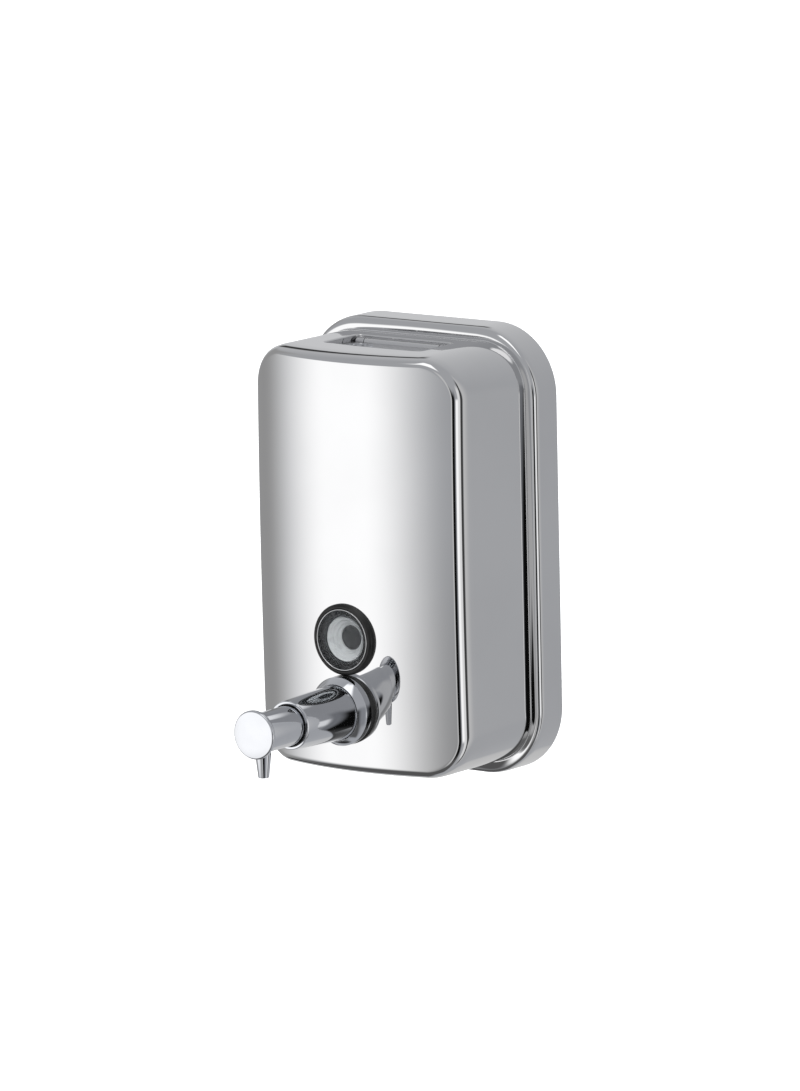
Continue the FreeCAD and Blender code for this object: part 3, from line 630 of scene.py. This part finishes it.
def shell_rings():
    """Rows of (points, normals) from the rear edge of the rim to the edge of the front."""
    rings, flange_start = rim_rings()
    flange, root_depth = flange_rings(flange_start)
    rings += flange
    first_body_ring = len(rings)
    arcs, fronts, edge_depth = edge_arcs()
    for step in range(BODY_RINGS):
        share = step / BODY_RINGS
        rings.append((body_points(root_depth + (edge_depth - root_depth) * share), SIDES))
    for (centre, radius, before, after), cuts in zip(arcs, EDGE_CUTS):
        for step in range(cuts):
            normals = turn(before, after, step / cuts) if step else before
            rings.append((centre + radius * normals, normals))
    rings.append((arcs[-1][0] + EDGE_R * fronts, fronts))
    return rings, first_body_ring


def front_border(across, down):
    """Which column of the rings each border point of the front's grid is."""
    start = COLUMN_COUNT - CORNER_CUTS // 2
    loop = [(start + step) % COLUMN_COUNT for step in range(COLUMN_COUNT)]
    top = loop[:across + 1]
    right = loop[across:across + down + 1]
    bottom = loop[across + down:2 * across + down + 1][::-1]
    left = (loop[2 * across + down:] + loop[:1])[::-1]
    border = {}
    for column in range(across + 1):
        border[(column, 0)] = top[column]
        border[(column, down)] = bottom[column]
    for row in range(down + 1):
        border[(0, row)] = left[row]
        border[(across, row)] = right[row]
    return border, (top, right, bottom, left)


def front_grid(edge):
    """Even grid over the front, filling in from its edge; returns points, normals and the border."""
    across = TOP_CUTS + CORNER_CUTS
    down = SIDE_CUTS + CORNER_CUTS
    border, (top, right, bottom, left) = front_border(across, down)
    flat = edge[:, [0, 2]]
    u = np.linspace(0, 1, across + 1)[:, None, None]
    v = np.linspace(0, 1, down + 1)[None, :, None]
    patch = ((1 - v) * flat[top][:, None] + v * flat[bottom][:, None]
             + (1 - u) * flat[left][None] + u * flat[right][None]
             - (1 - u) * (1 - v) * flat[top[0]] - u * (1 - v) * flat[top[-1]]
             - (1 - u) * v * flat[bottom[0]] - u * v * flat[bottom[-1]])
    depth, normals = front_surface(patch[..., 0], patch[..., 1])
    points = np.stack([patch[..., 0], depth, patch[..., 1]], axis=-1)
    return points, normals, border


def pocket_loop(half, rear, front, corner):
    """Rounded rectangle in (x, depth), each side running from corner middle to corner middle."""
    corner = max(corner, LEAST_CORNER)
    centres = ((half - corner, rear + corner), (half - corner, front - corner),
               (corner - half, front - corner), (corner - half, rear + corner))
    eighth = math.pi / 4
    loop = []
    for side, centre in enumerate(centres):
        count = (WELL_ACROSS, WELL_DOWN)[side % 2]
        before = centres[side - 1]
        outward = -math.pi / 2 + side * math.pi / 2
        for step in range(count):
            if step < WELL_CORNER_CUTS:
                angle = outward - eighth + eighth * step / WELL_CORNER_CUTS
                base = before
            elif step > count - WELL_CORNER_CUTS:
                angle = outward + eighth * (step - count + WELL_CORNER_CUTS) / WELL_CORNER_CUTS
                base = centre
            else:
                share = (step - WELL_CORNER_CUTS) / (count - 2 * WELL_CORNER_CUTS)
                angle = outward
                base = [a + (b - a) * share for a, b in zip(before, centre)]
            loop.append((base[0] + corner * math.cos(angle), base[1] + corner * math.sin(angle)))
    return np.array(loop)


def well_outline(spread, drop=0.0, height=None):
    """Loop round the well, moved outward by the spread, at a drop below the top face or at one height."""
    flat = pocket_loop(WELL_HALF + spread, WELL_REAR - spread, WELL_FRONT + spread, WELL_CORNER + spread)
    z = top_height(flat[:, 1]) - drop if height is None else height + 0 * flat[:, 0]
    return np.stack([flat[:, 0], flat[:, 1], z], axis=1)


def bridge_loops(skin_edge, drop, spread):
    """Loops that lead from the open edge of a skin toward the well's outline."""
    outline = well_outline(spread, drop)
    return [skin_edge + (outline - skin_edge) * share for share in WELL_BRIDGE_SHARES]


def well_loops(outer_edge, inner_edge):
    """Loops from the outer skin over the lip, down the wall, over the floor and back up inside."""
    quarter_turn = [math.pi / 2 * step / WELL_ROUND_CUTS for step in range(WELL_ROUND_CUTS + 1)]
    loops = bridge_loops(outer_edge, 0.0, WELL_LIP_R)
    for angle in quarter_turn:
        drop = WELL_LIP_R * (1 - math.cos(angle))
        loops.append(well_outline(WELL_LIP_R * (1 - math.sin(angle)), drop))
    for angle in quarter_turn:
        height = WELL_FLOOR_Z + WELL_FOOT_R * (1 - math.sin(angle))
        loops.append(well_outline(-WELL_FOOT_R * (1 - math.cos(angle)), height=height))
    for height in (WELL_FLOOR_Z, WELL_FLOOR_Z - SHEET):
        flat = pocket_loop(*FILLER)
        loops.append(np.stack([flat[:, 0], flat[:, 1], height + 0 * flat[:, 0]], axis=1))
    under_r = WELL_FOOT_R + SHEET
    for angle in quarter_turn:
        height = WELL_FLOOR_Z + WELL_FOOT_R - under_r * math.cos(angle)
        loops.append(well_outline(SHEET - under_r * (1 - math.sin(angle)), height=height))
    loops.append(well_outline(SHEET, SHEET))
    loops += bridge_loops(inner_edge, SHEET, SHEET)[::-1]
    return loops


class Sheet:
    """Points and faces of the tank's sheet metal, gathered part by part."""

    def __init__(self, rings, first_body):
        self.outer = np.array([ring for ring, _ in rings])
        self.inner = np.array([ring - SHEET * normal for ring, normal in rings])
        self.inner[0, :, 1] = self.outer[0, :, 1]
        self.low_row, self.high_row = (first_body + row for row in WELL_ROWS)
        self.points = []
        self.faces = []
        self.starts = []

    def add_points(self, points):
        """Store points and return the number of the first one."""
        first = len(self.points)
        self.points.extend(points)
        return first

    def add_skins(self):
        """Both faces of the sheet, open where the well goes, and the cut edge at the back."""
        low_column, high_column = WELL_COLUMNS

        def in_well(row, column):
            return self.low_row <= row < self.high_row and low_column <= column < high_column

        for skin in (self.outer, self.inner):
            self.starts.append(self.add_points(skin.reshape(-1, 3)))
            self.faces += grid_faces(self.starts[-1], len(skin), COLUMN_COUNT, skip=in_well)
        outside, inside = self.starts
        for column in range(COLUMN_COUNT):
            after = (column + 1) % COLUMN_COUNT
            self.faces.append((outside + column, outside + after, inside + after, inside + column))

    def add_front(self):
        """Both faces of the front, which share the last row of each skin."""
        grid, normals, border = front_grid(self.outer[-1])
        across, down = grid.shape[:2]
        for start, offset in zip(self.starts, (0.0, SHEET)):
            last_ring = start + (len(self.outer) - 1) * COLUMN_COUNT
            numbers = np.zeros((across, down), int)
            for column in range(across):
                for row in range(down):
                    if (column, row) in border:
                        numbers[column, row] = last_ring + border[(column, row)]
                    else:
                        point = grid[column, row] - offset * normals[column, row]
                        numbers[column, row] = self.add_points([point])
            for column in range(across - 1):
                for row in range(down - 1):
                    self.faces.append((numbers[column, row], numbers[column + 1, row],
                                       numbers[column + 1, row + 1], numbers[column, row + 1]))

    def well_edge(self):
        """(row, column) of the skins' points round the opening, in the order of the well's loops."""
        low_column, high_column = WELL_COLUMNS
        edge = [(self.low_row, low_column + step) for step in range(WELL_ACROSS)]
        edge += [(self.low_row + step, high_column) for step in range(WELL_DOWN)]
        edge += [(self.high_row, high_column - step) for step in range(WELL_ACROSS)]
        edge += [(self.high_row - step, low_column) for step in range(WELL_DOWN)]
        return edge

    def add_well(self):
        """The lid well, joined to both skins round its opening."""
        edge = self.well_edge()
        loops = well_loops(*(np.array([skin[place] for place in edge]) for skin in (self.outer, self.inner)))
        first = self.add_points(np.array(loops).reshape(-1, 3))
        size = len(edge)
        self.faces += grid_faces(first, len(loops), size)
        for start, loop in zip(self.starts, (0, len(loops) - 1)):
            for step in range(size):
                after = (step + 1) % size
                here, there = (start + row * COLUMN_COUNT + column
                               for row, column in (edge[step], edge[after]))
                self.faces.append((here, there, first + loop * size + after, first + loop * size + step))

    def make(self, name):
        """Object without the points that no face uses."""
        used = sorted({index for face in self.faces for index in face})
        number = {old: new for new, old in enumerate(used)}
        return make_object(name, [self.points[index] for index in used],
                           [[number[index] for index in face] for face in self.faces])


def cut_hole(shell, place, radius):
    """Round hole through the front sheet."""
    cutter = lathe("cutter", tube(*CUTTER_DEPTHS, 0.0, radius), place, HOLE_SEGMENTS)
    cut = shell.modifiers.new("hole", "BOOLEAN")
    cut.operation = "DIFFERENCE"
    cut.solver = "EXACT"
    cut.object = cutter
    bpy.context.view_layer.update()
    result = bpy.data.meshes.new_from_object(shell.evaluated_get(bpy.context.evaluated_depsgraph_get()))
    shell.modifiers.clear()
    shell.data = result
    bpy.data.objects.remove(cutter)


def tank_shell():
    """One sheet of steel: rim, flange, body, bowed front, and the lid well in the top."""
    sheet = Sheet(*shell_rings())
    sheet.add_skins()
    sheet.add_front()
    sheet.add_well()
    shell = sheet.make("tank")
    cut_hole(shell, about_valve, BARREL_THREAD_R + HOLE_GAP)
    cut_hole(shell, about_sight, LENS_THREAD_R + HOLE_GAP)
    shade_smooth(shell.data, SHARP_DEG)
    return shell


dress(tank_shell(), "polished_steel", "tank", "tank_shell")

# ---- valve

COLLAR = Extent("valve_collar")
BARREL = Extent("valve_barrel")
SLEEVE = Extent("plunger_sleeve")
BUTTON = Extent("push_button")
SPOUT = Extent("spout")
SEAL = Extent("valve_gasket")

# roundings of turned edges
CRISP = 0.05
FINE = 0.1
SMALL = 0.2
SOFT = 0.3
LIP = 0.35
FULL = 0.4
BROAD = 0.5

# gap between parts that slip together
SLIP = 0.05
VALVE_BORE_R = BARREL_THREAD_R + SLIP

# the collar: a slightly tapered foot, a chamfered front and a recess in its mouth
COLLAR_FOOT = 1.3
COLLAR_FOOT_TAPER = 0.1
COLLAR_CHAMFER = 3.3
COLLAR_MOUTH_R = 11.95
COLLAR_MOUTH_ROUND = 0.12
COLLAR_RECESS = 0.6
COLLAR_RECESS_R = 11.85


def collar_ring():
    recess = COLLAR.front - COLLAR_RECESS
    return lathe("collar_ring", [
        (COLLAR.rear, VALVE_BORE_R, FINE),
        (COLLAR.rear, COLLAR.radius - COLLAR_FOOT_TAPER, FULL),
        (COLLAR.rear + COLLAR_FOOT, COLLAR.radius, SOFT),
        (COLLAR.front - COLLAR_CHAMFER, COLLAR.radius, SOFT),
        (COLLAR.front, COLLAR_MOUTH_R, COLLAR_MOUTH_ROUND),
        (recess, COLLAR_RECESS_R, 0),
        (recess, VALVE_BORE_R, FINE)], about_valve)


# the barrel: threaded behind the collar, tapering in front of it, with a lip turned in at its mouth
BARREL_BORE_R = 9.6
BARREL_ROOT_R = 10.45
BARREL_RELIEF = 1.0
BARREL_NOSE = 0.7
BARREL_NOSE_R = 10.3
BARREL_TIP_R = 10.1
BARREL_MOUTH_R = 8.9
BARREL_LIP = 1.4
BARREL_LIP_BACK = 2.0


def barrel():
    corners = [(BARREL.rear, BARREL_BORE_R, FINE)]
    corners += threads(BARREL.rear, COLLAR.front - BARREL_RELIEF, BARREL_THREAD_R, BARREL_ROOT_R)
    corners += [
        (COLLAR.front, BARREL_ROOT_R, CRISP),
        (COLLAR.front, BARREL.radius, FINE),
        (BARREL.front - BARREL_NOSE, BARREL_NOSE_R, SOFT),
        (BARREL.front, BARREL_TIP_R, LIP),
        (BARREL.front, BARREL_MOUTH_R, LIP),
        (BARREL.front - BARREL_LIP, BARREL_MOUTH_R, FINE),
        (BARREL.front - BARREL_LIP_BACK, BARREL_BORE_R, FINE)]
    return lathe("barrel", corners, about_valve, LONG_TUBE_SEGMENTS, THREADED_ROUND_CUTS)


SLEEVE_WALL = 0.8
SLEEVE_REAR_ROUND = 0.25


def plunger():
    """Tube that slides in the barrel."""
    corners = tube(SLEEVE.rear, SLEEVE.front, SLEEVE.radius - SLEEVE_WALL, SLEEVE.radius,
                   (FINE, SLEEVE_REAR_ROUND, CRISP, CRISP))
    return lathe("plunger", corners, about_valve, LONG_TUBE_SEGMENTS)


# the button's face is slightly crowned: (below its middle, radius, rounding) from the edge inward
BUTTON_CROWN = ((0.375, BUTTON.radius, 0.75), (0.095, 5.0, 3.0))


def button():
    """Disc with a spigot that plugs the sleeve."""
    spigot = SLEEVE.radius - SLEEVE_WALL - SLIP
    corners = [
        (BUTTON.rear, 0.0, 0),
        (BUTTON.rear, spigot, FINE),
        (SLEEVE.front, spigot, 0),
        (SLEEVE.front, BUTTON.radius, SMALL)]
    corners += [(BUTTON.front - drop, radius, rounding) for drop, radius, rounding in BUTTON_CROWN]
    corners.append((BUTTON.front, 0.0, 0))
    return lathe("button", corners, about_valve)


# black rubber ring just inside the barrel's mouth, round the sleeve; its black is painted shade, standing
# for the shade in the gap between the sleeve and the barrel's mouth
GAP_SHADE_FRONT = 0.7
GAP_SHADE_DEPTH = 0.6
GAP_SHADE_R = 8.85
GAP_SHADE_REAR_GAP = 0.1
GAP_SHADE_FRONT_GAP = 0.02


def gap_shade_ring():
    front = BARREL.front - GAP_SHADE_FRONT
    rear = front - GAP_SHADE_DEPTH
    return lathe("gap_shade_ring", [
        (rear, SLEEVE.radius + GAP_SHADE_REAR_GAP, CRISP),
        (rear, GAP_SHADE_R, CRISP),
        (front, GAP_SHADE_R, CRISP),
        (front, SLEEVE.radius + GAP_SHADE_FRONT_GAP, CRISP)], about_valve)


# the spout: a straight neck, then a taper to its tip
SPOUT_BORE_R = 1.3
SPOUT_NECK = 6.0
SPOUT_NECK_ROUND = 1.5
SPOUT_TIP_R = 2.3


def about_spout(along, across, outward):
    return across, (SPOUT.rear + SPOUT.front) / 2 + outward, along


def nozzle():
    return lathe("nozzle", [
        (SPOUT.top, SPOUT_BORE_R, CRISP),
        (SPOUT.top, SPOUT.half_width, FINE),
        (SPOUT.top - SPOUT_NECK, SPOUT.half_width, SPOUT_NECK_ROUND),
        (SPOUT.bottom, SPOUT_TIP_R, LIP),
        (SPOUT.bottom, SPOUT_BORE_R, SMALL)], about_spout, SPOUT_SEGMENTS)


dress(collar_ring(), "chrome_brass", "tank", "valve_collar")
dress(barrel(), "chrome_brass", "tank", "valve_barrel")
dress(plunger(), "chrome_brass", "plunger", "plunger_sleeve")
dress(button(), "chrome_brass", "plunger", "push_button")
# black ring of painted shade in the barrel's mouth
dress(gap_shade_ring(), "black_rubber", "tank")
dress(nozzle(), "chrome_brass", "plunger", "spout")

# ---- sight glass and seals

RING = Extent("sight_gasket")
LENS = Extent("sight_lens")

# the ring: a domed front with a lip that holds the lens
RING_DEPTH = 3.0
RING_BORE_R = 10.35
RING_SHOULDER = 0.7
RING_SHOULDER_ROUND = 0.8
RING_FACE = 1.0
RING_LIP = 1.8
RING_SEAT_R = 12.85
RING_LIP_DROP = 0.5
SEAT_DROP = 1.2
SEAT = RING.front - SEAT_DROP


def sight_ring():
    return lathe("sight_ring", [
        (RING.front - RING_DEPTH, RING_BORE_R, FINE),
        (RING.front - RING_DEPTH, RING.radius, 0),
        (RING.front - RING_SHOULDER, RING.radius, RING_SHOULDER_ROUND),
        (RING.front, RING.radius - RING_FACE, BROAD),
        (RING.front, RING.radius - RING_LIP, SOFT),
        (RING.front - RING_LIP_DROP, RING_SEAT_R, FINE),
        (SEAT, RING_SEAT_R, 0),
        (SEAT, RING_BORE_R, FINE)], about_sight)


# the lens: a head with a crowned face, on a short plug that closes the tube behind it
LENS_BACK = 3.08
LENS_PLUG_R = 9.45
LENS_SEAT_ROUND = 0.15
LENS_FACE_DROP = 0.7
LENS_CROWN_DROP = 0.1
LENS_CROWN_R = 8.0
LENS_CROWN_ROUND = 4.0


def lens():
    back = LENS.front - LENS_BACK
    return lathe("lens", [
        (back, 0.0, 0),
        (back, LENS_PLUG_R, FINE),
        (SEAT, LENS_PLUG_R, CRISP),
        (SEAT, LENS.radius, LENS_SEAT_ROUND),
        (LENS.front - LENS_FACE_DROP, LENS.radius, BROAD),
        (LENS.front - LENS_CROWN_DROP, LENS_CROWN_R, LENS_CROWN_ROUND),
        (LENS.front, 0.0, 0)], about_sight)


# the tube: threaded outside, and stepped inside its mouth as (deeper by, narrower by)
TUBE_BORE_R = 5.1
TUBE_FRONT = 71.6
TUBE_RELIEF = 0.8
TUBE_LIP = 0.2
TUBE_STEPS = ((0.9, 0.35), (0.4, 1.0), (0.9, 0.3), (0.4, 1.0), (1.0, 0.3), (0.4, 1.0))
TUBE_BORE_DEPTH = 66.0


def lens_tube():
    corners = [(LENS.rear, TUBE_BORE_R, SMALL)]
    corners += threads(LENS.rear, TUBE_FRONT - TUBE_RELIEF, LENS_THREAD_R, LENS_PLUG_R)
    corners.append((TUBE_FRONT, LENS_PLUG_R, CRISP))
    depth = TUBE_FRONT
    radius = LENS_PLUG_R - TUBE_LIP
    corners.append((depth, radius, CRISP))
    for deeper, narrower in TUBE_STEPS:
        depth -= deeper
        radius -= narrower
        corners.append((depth, radius, SMALL))
    corners.append((TUBE_BORE_DEPTH, TUBE_BORE_R, FINE))
    return lathe("lens_tube", corners, about_sight, cuts=THREADED_ROUND_CUTS)


# painted shade: a dark disc in the mouth of the tube's bore, which stands for the dark, unlit inside of the
# tank behind it
SHADE_DEPTHS = (66.2, 67.0)


def bore_painted_shade():
    return lathe("bore_painted_shade", tube(*SHADE_DEPTHS, 0.0, TUBE_BORE_R), about_sight)


# thin bright bead in the gap between the ring's lip and the lens
BEAD_R = 0.22
BEAD_CUTS = 12
BEAD_DROP = 0.05
BEAD_GAP = 0.05


def lens_bead():
    corners = []
    for step in range(BEAD_CUTS):
        angle = 2 * math.pi * step / BEAD_CUTS
        corners.append((RING.front - BEAD_DROP + BEAD_R * math.cos(angle),
                        LENS.radius - BEAD_GAP + BEAD_R * math.sin(angle), 0))
    return lathe("lens_bead", corners, about_sight, sharp_deg=ROUND_WIRE_SHARP_DEG)


SEAL_DEPTH = 2.4


def valve_seal():
    """Rubber ring between the collar and the bowed front."""
    corners = tube(SEAL.front - SEAL_DEPTH, SEAL.front, VALVE_BORE_R, SEAL.radius, (FINE, 0, FULL, FINE))
    return lathe("valve_seal", corners, about_valve)


dress(sight_ring(), "black_rubber", "tank", "sight_gasket")
dress(lens(), "clear_plastic", "tank", "sight_lens")
dress(lens_tube(), "milky_plastic", "tank")
# dark disc of painted shade in the tube's bore
dress(bore_painted_shade(), "black_rubber", "tank")
dress(lens_bead(), "polished_steel", "tank")
dress(valve_seal(), "black_rubber", "tank", "valve_gasket")

# ---- return spring

SPRING = Extent("return_spring")
WIRE_R = 0.55
COIL_R = SPRING.half_width - WIRE_R
COIL_PITCH = 3.6
COIL_CUTS = 32
WIRE_SIDES = 12


def coil_spring():
    """Coil of round wire about the valve's axis, stretched between the tank and the plunger."""
    length = SPRING.front - SPRING.rear
    cuts = int(length / COIL_PITCH) * COIL_CUTS
    points = []
    for step in range(cuts + 1):
        angle = 2 * math.pi * step / COIL_CUTS
        along = SPRING.rear + WIRE_R + (length - 2 * WIRE_R) * step / cuts
        for side in range(WIRE_SIDES):
            round_wire = 2 * math.pi * side / WIRE_SIDES
            radius = COIL_R + WIRE_R * math.cos(round_wire)
            points.append(about_valve(along + WIRE_R * math.sin(round_wire),
                                      radius * math.cos(angle), radius * math.sin(angle)))
    faces = grid_faces(0, cuts + 1, WIRE_SIDES)
    last = cuts * WIRE_SIDES
    faces.append(range(WIRE_SIDES))
    faces.append(range(last, last + WIRE_SIDES))
    piece = make_object("coil_spring", points, faces, ROUND_WIRE_SHARP_DEG)
    dress(piece, "spring_steel", None, "return_spring")
    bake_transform(piece)


coil_spring()

# ---- the other CAD nodes

SLOT_OF = {row["node"]: row["material_slot"] for row in frame["record"]["subparts"]}
for node, piece in frame["nodes"].items():
    piece.data.materials.clear()
    piece.data.materials.append(LID_STEEL if node == "filler_lid" else MATERIALS[SLOT_OF[node]])

# ---- studio

CAMERA_AZIMUTH = 36.98
CAMERA_ELEVATION = 10.07
CAMERA_ROLL = -1.234
CAMERA_DISTANCE = 3.837
CAMERA_LENS = 302.6
CAMERA_SENSOR = 36.0
CAMERA_CLIP_END = 100.0
AIM = (0.0, -0.038, 0.0)
AIM_SHIFT = (0.00344, 0.00277)


def direction(azimuth, elevation):
    """Unit vector toward an azimuth (0 is -Y, positive to +X) and an elevation, in degrees."""
    azimuth = math.radians(azimuth)
    elevation = math.radians(elevation)
    level = math.cos(elevation)
    return Vector((level * math.sin(azimuth), -level * math.cos(azimuth), math.sin(elevation)))


def add_camera():
    roll = math.radians(CAMERA_ROLL)
    back = direction(CAMERA_AZIMUTH, CAMERA_ELEVATION)
    right = direction(CAMERA_AZIMUTH + 90.0, 0.0)
    up = back.cross(right)
    position = Vector(AIM) + right * AIM_SHIFT[0] + up * AIM_SHIFT[1] + back * CAMERA_DISTANCE
    x_axis = math.cos(roll) * right + math.sin(roll) * up
    y_axis = -math.sin(roll) * right + math.cos(roll) * up
    camera = bpy.data.objects.new("camera", bpy.data.cameras.new("camera"))
    camera.data.lens = CAMERA_LENS
    camera.data.sensor_width = CAMERA_SENSOR
    camera.data.clip_end = CAMERA_CLIP_END
    camera.matrix_world = Matrix.Translation(position) @ Matrix((x_axis, y_axis, back)).transposed().to_4x4()
    bpy.context.scene.collection.objects.link(camera)
    bpy.context.scene.camera = camera


class Sky:
    """World built from soft-edged panels in azimuth (0 is -Y, positive to +X) and elevation."""

    def __init__(self, base):
        world = bpy.data.worlds.new("studio")
        bpy.context.scene.world = world
        world.use_nodes = True
        self.tree = world.node_tree
        self.tree.nodes.clear()
        self.ray = make_node(self.tree, "TexCoord").outputs["Generated"]
        parts = make_node(self.tree, "SeparateXYZ", {"Vector": self.ray})
        front = self.math("MULTIPLY", parts.outputs["Y"], -1.0)
        self.azimuth = self.math("DEGREES", self.math("ARCTAN2", parts.outputs["X"], front))
        self.elevation = self.math("DEGREES", self.math("ARCSINE", parts.outputs["Z"]))
        self.color = make_node(self.tree, "RGB").outputs["Color"]
        self.color.default_value = (*base, 1.0)

    def math(self, operation, *values):
        node = make_node(self.tree, "Math", dict(enumerate(values)), operation=operation)
        return node.outputs["Value"]

    def fade(self, value, low, high, interpolation="LINEAR"):
        """0 at the low value, 1 at the high one."""
        node = make_node(self.tree, "MapRange", {"Value": value, "From Min": low, "From Max": high},
                         interpolation_type=interpolation)
        return node.outputs["Result"]

    def step(self, value, edge, width):
        """0 below the edge and 1 above it, softened over the width."""
        return self.fade(value, edge - width / 2, edge + width / 2, "SMOOTHSTEP")

    def band(self, value, low, high, low_width, high_width):
        fall = self.math("SUBTRACT", 1.0, self.step(value, high, high_width))
        return self.math("MULTIPLY", self.step(value, low, low_width), fall)

    def mix_in(self, mask, color):
        mix = make_node(self.tree, "Mix", {"Factor": mask, "A": self.color, "B": (*color, 1.0)},
                        data_type="RGBA")
        self.color = mix.outputs["Result"]

    def glow(self, azimuth, elevation, inner, outer, color):
        """Round soft light about one direction, full to the inner angle and gone at the outer one."""
        dot = make_node(self.tree, "VectorMath", {0: self.ray, 1: direction(azimuth, elevation)},
                        operation="DOT_PRODUCT")
        angle = self.math("DEGREES", self.math("ARCCOSINE", dot.outputs["Value"]))
        self.mix_in(self.fade(angle, outer, inner), color)

    def panel(self, azimuths, elevations, color, side_widths, level_widths):
        """Panel between two azimuths and two elevations, whose edges fade over the widths."""
        across = self.band(self.azimuth, *azimuths, *side_widths)
        upward = self.band(self.elevation, *elevations, *level_widths)
        self.mix_in(self.math("MULTIPLY", across, upward), color)

    def finish(self, backdrop):
        """The camera sees a plain backdrop; everything else sees the panels."""
        rays = make_node(self.tree, "LightPath")
        self.mix_in(rays.outputs["Is Camera Ray"], backdrop)
        background = make_node(self.tree, "Background", {"Color": self.color})
        make_node(self.tree, "OutputWorld", {"Surface": background.outputs["Background"]})


STEEL_TONE = 0.66
GREEN_SHARE_OF_TINT = 0.3
WHITE = (1.0, 1.0, 1.0)


def seen(value, tint=0.0):
    """Panel colour that looks this bright, and this much bluer, when the polished steel reflects it."""
    value = value / STEEL_TONE
    return value, value * (1 + tint * GREEN_SHARE_OF_TINT), value * (1 + tint)


def add_sky():
    sky = Sky(seen(0.32, 0.06))
    # behind the dispenser
    sky.glow(-140, 14, 12, 78, seen(0.44, 0.03))
    sky.panel((-146, -122), (24, 40), seen(0.03), (8, 10), (8, 8))
    # a shade darker on the far left
    sky.panel((-112, -68), (-40, 30), seen(0.26), (24, 16), (16, 16))
    # to the right, from behind forward: pale ridge, dark gap, white panel with a bright foot, dark panel
    sky.panel((126, 134), (-60, 40), seen(0.46), (3, 16), (16, 16))
    sky.panel((112, 125.5), (-60, 30), seen(0.04), (10, 3), (16, 16))
    sky.panel((92, 113), (-50, 20), seen(0.64), (8, 8), (16, 16))
    sky.panel((72, 94), (-18, -3), seen(0.90), (10, 8), (8, 6))
    sky.panel((56, 70), (-40, 10), seen(0.20, 0.10), (10, 8), (16, 12))
    # in front on the right: a pale strip, the black panel round the camera, and a dim patch low down
    sky.panel((14, 27), (-40, 20), seen(0.47), (7, 3), (16, 10))
    sky.panel((27, 58), (-75, 4), seen(0.004), (3, 10), (16, 12))
    sky.panel((-30, 14), (-60, -12), seen(0.25), (20, 6), (20, 8))
    # the large soft front light
    sky.panel((-61.5, -9.5), (-27, 3.5), seen(0.965), (35, 37), (24, 5))
    # overhead panel
    sky.panel((-18, 38), (42, 76), seen(1.02), (10, 12), (7, 8))
    # dark below the front, with a black part on the left, and pale again behind
    sky.panel((-92, 60), (-80, -36), seen(0.08), (24, 20), (10, 14))
    sky.panel((-114, -94), (-80, -36), seen(0.015), (10, 12), (10, 8))
    sky.panel((-178, -124), (-60, -14), seen(0.44), (12, 8), (10, 28))
    sky.finish(WHITE)


FLOOR_HALF = 30.0
FLOOR_DROP = 3.0
FLOOR_NOISE_SCALE = 2.0
FLOOR_DARK = (0.90, 0.90, 0.90)
FLOOR_LIGHT = (0.92, 0.92, 0.92)
FLOOR_ROUGH = (0.7, 0.8)


def add_floor():
    """White floor far below, which stays out of reflections."""
    mesh = bpy.data.meshes.new("floor")
    corners = [(x * FLOOR_HALF, y * FLOOR_HALF, 0.0) for x, y in ((-1, -1), (1, -1), (1, 1), (-1, 1))]
    mesh.from_pydata(corners, [], [range(len(corners))])
    floor = bpy.data.objects.new("floor", mesh)
    floor.location = (0.0, 0.0, -FLOOR_DROP)
    bpy.context.scene.collection.objects.link(floor)
    paint = Surface("floor_paint")
    noise = paint.noise(FLOOR_NOISE_SCALE)
    paint.vary_color(noise, FLOOR_DARK, FLOOR_LIGHT)
    paint.vary_roughness(noise, *FLOOR_ROUGH)
    mesh.materials.append(paint.material)
    floor.visible_glossy = False
    floor.visible_transmission = False


def add_lamp(name, energy, azimuth, elevation, spread):
    """Sun that lights plain surfaces only: it stays out of reflections."""
    lamp = bpy.data.objects.new(name, bpy.data.lights.new(name, "SUN"))
    lamp.data.energy = energy
    lamp.data.angle = math.radians(spread)
    lamp.rotation_euler = direction(azimuth, elevation).to_track_quat("Z", "Y").to_euler()
    lamp.visible_glossy = False
    bpy.context.scene.collection.objects.link(lamp)


add_camera()
add_sky()
add_floor()
add_lamp("overhead", energy=3.6, azimuth=-30, elevation=72, spread=40)
add_lamp("fill", energy=2.5, azimuth=62, elevation=18, spread=8)
bpy.context.scene.view_settings.view_transform = "Standard"
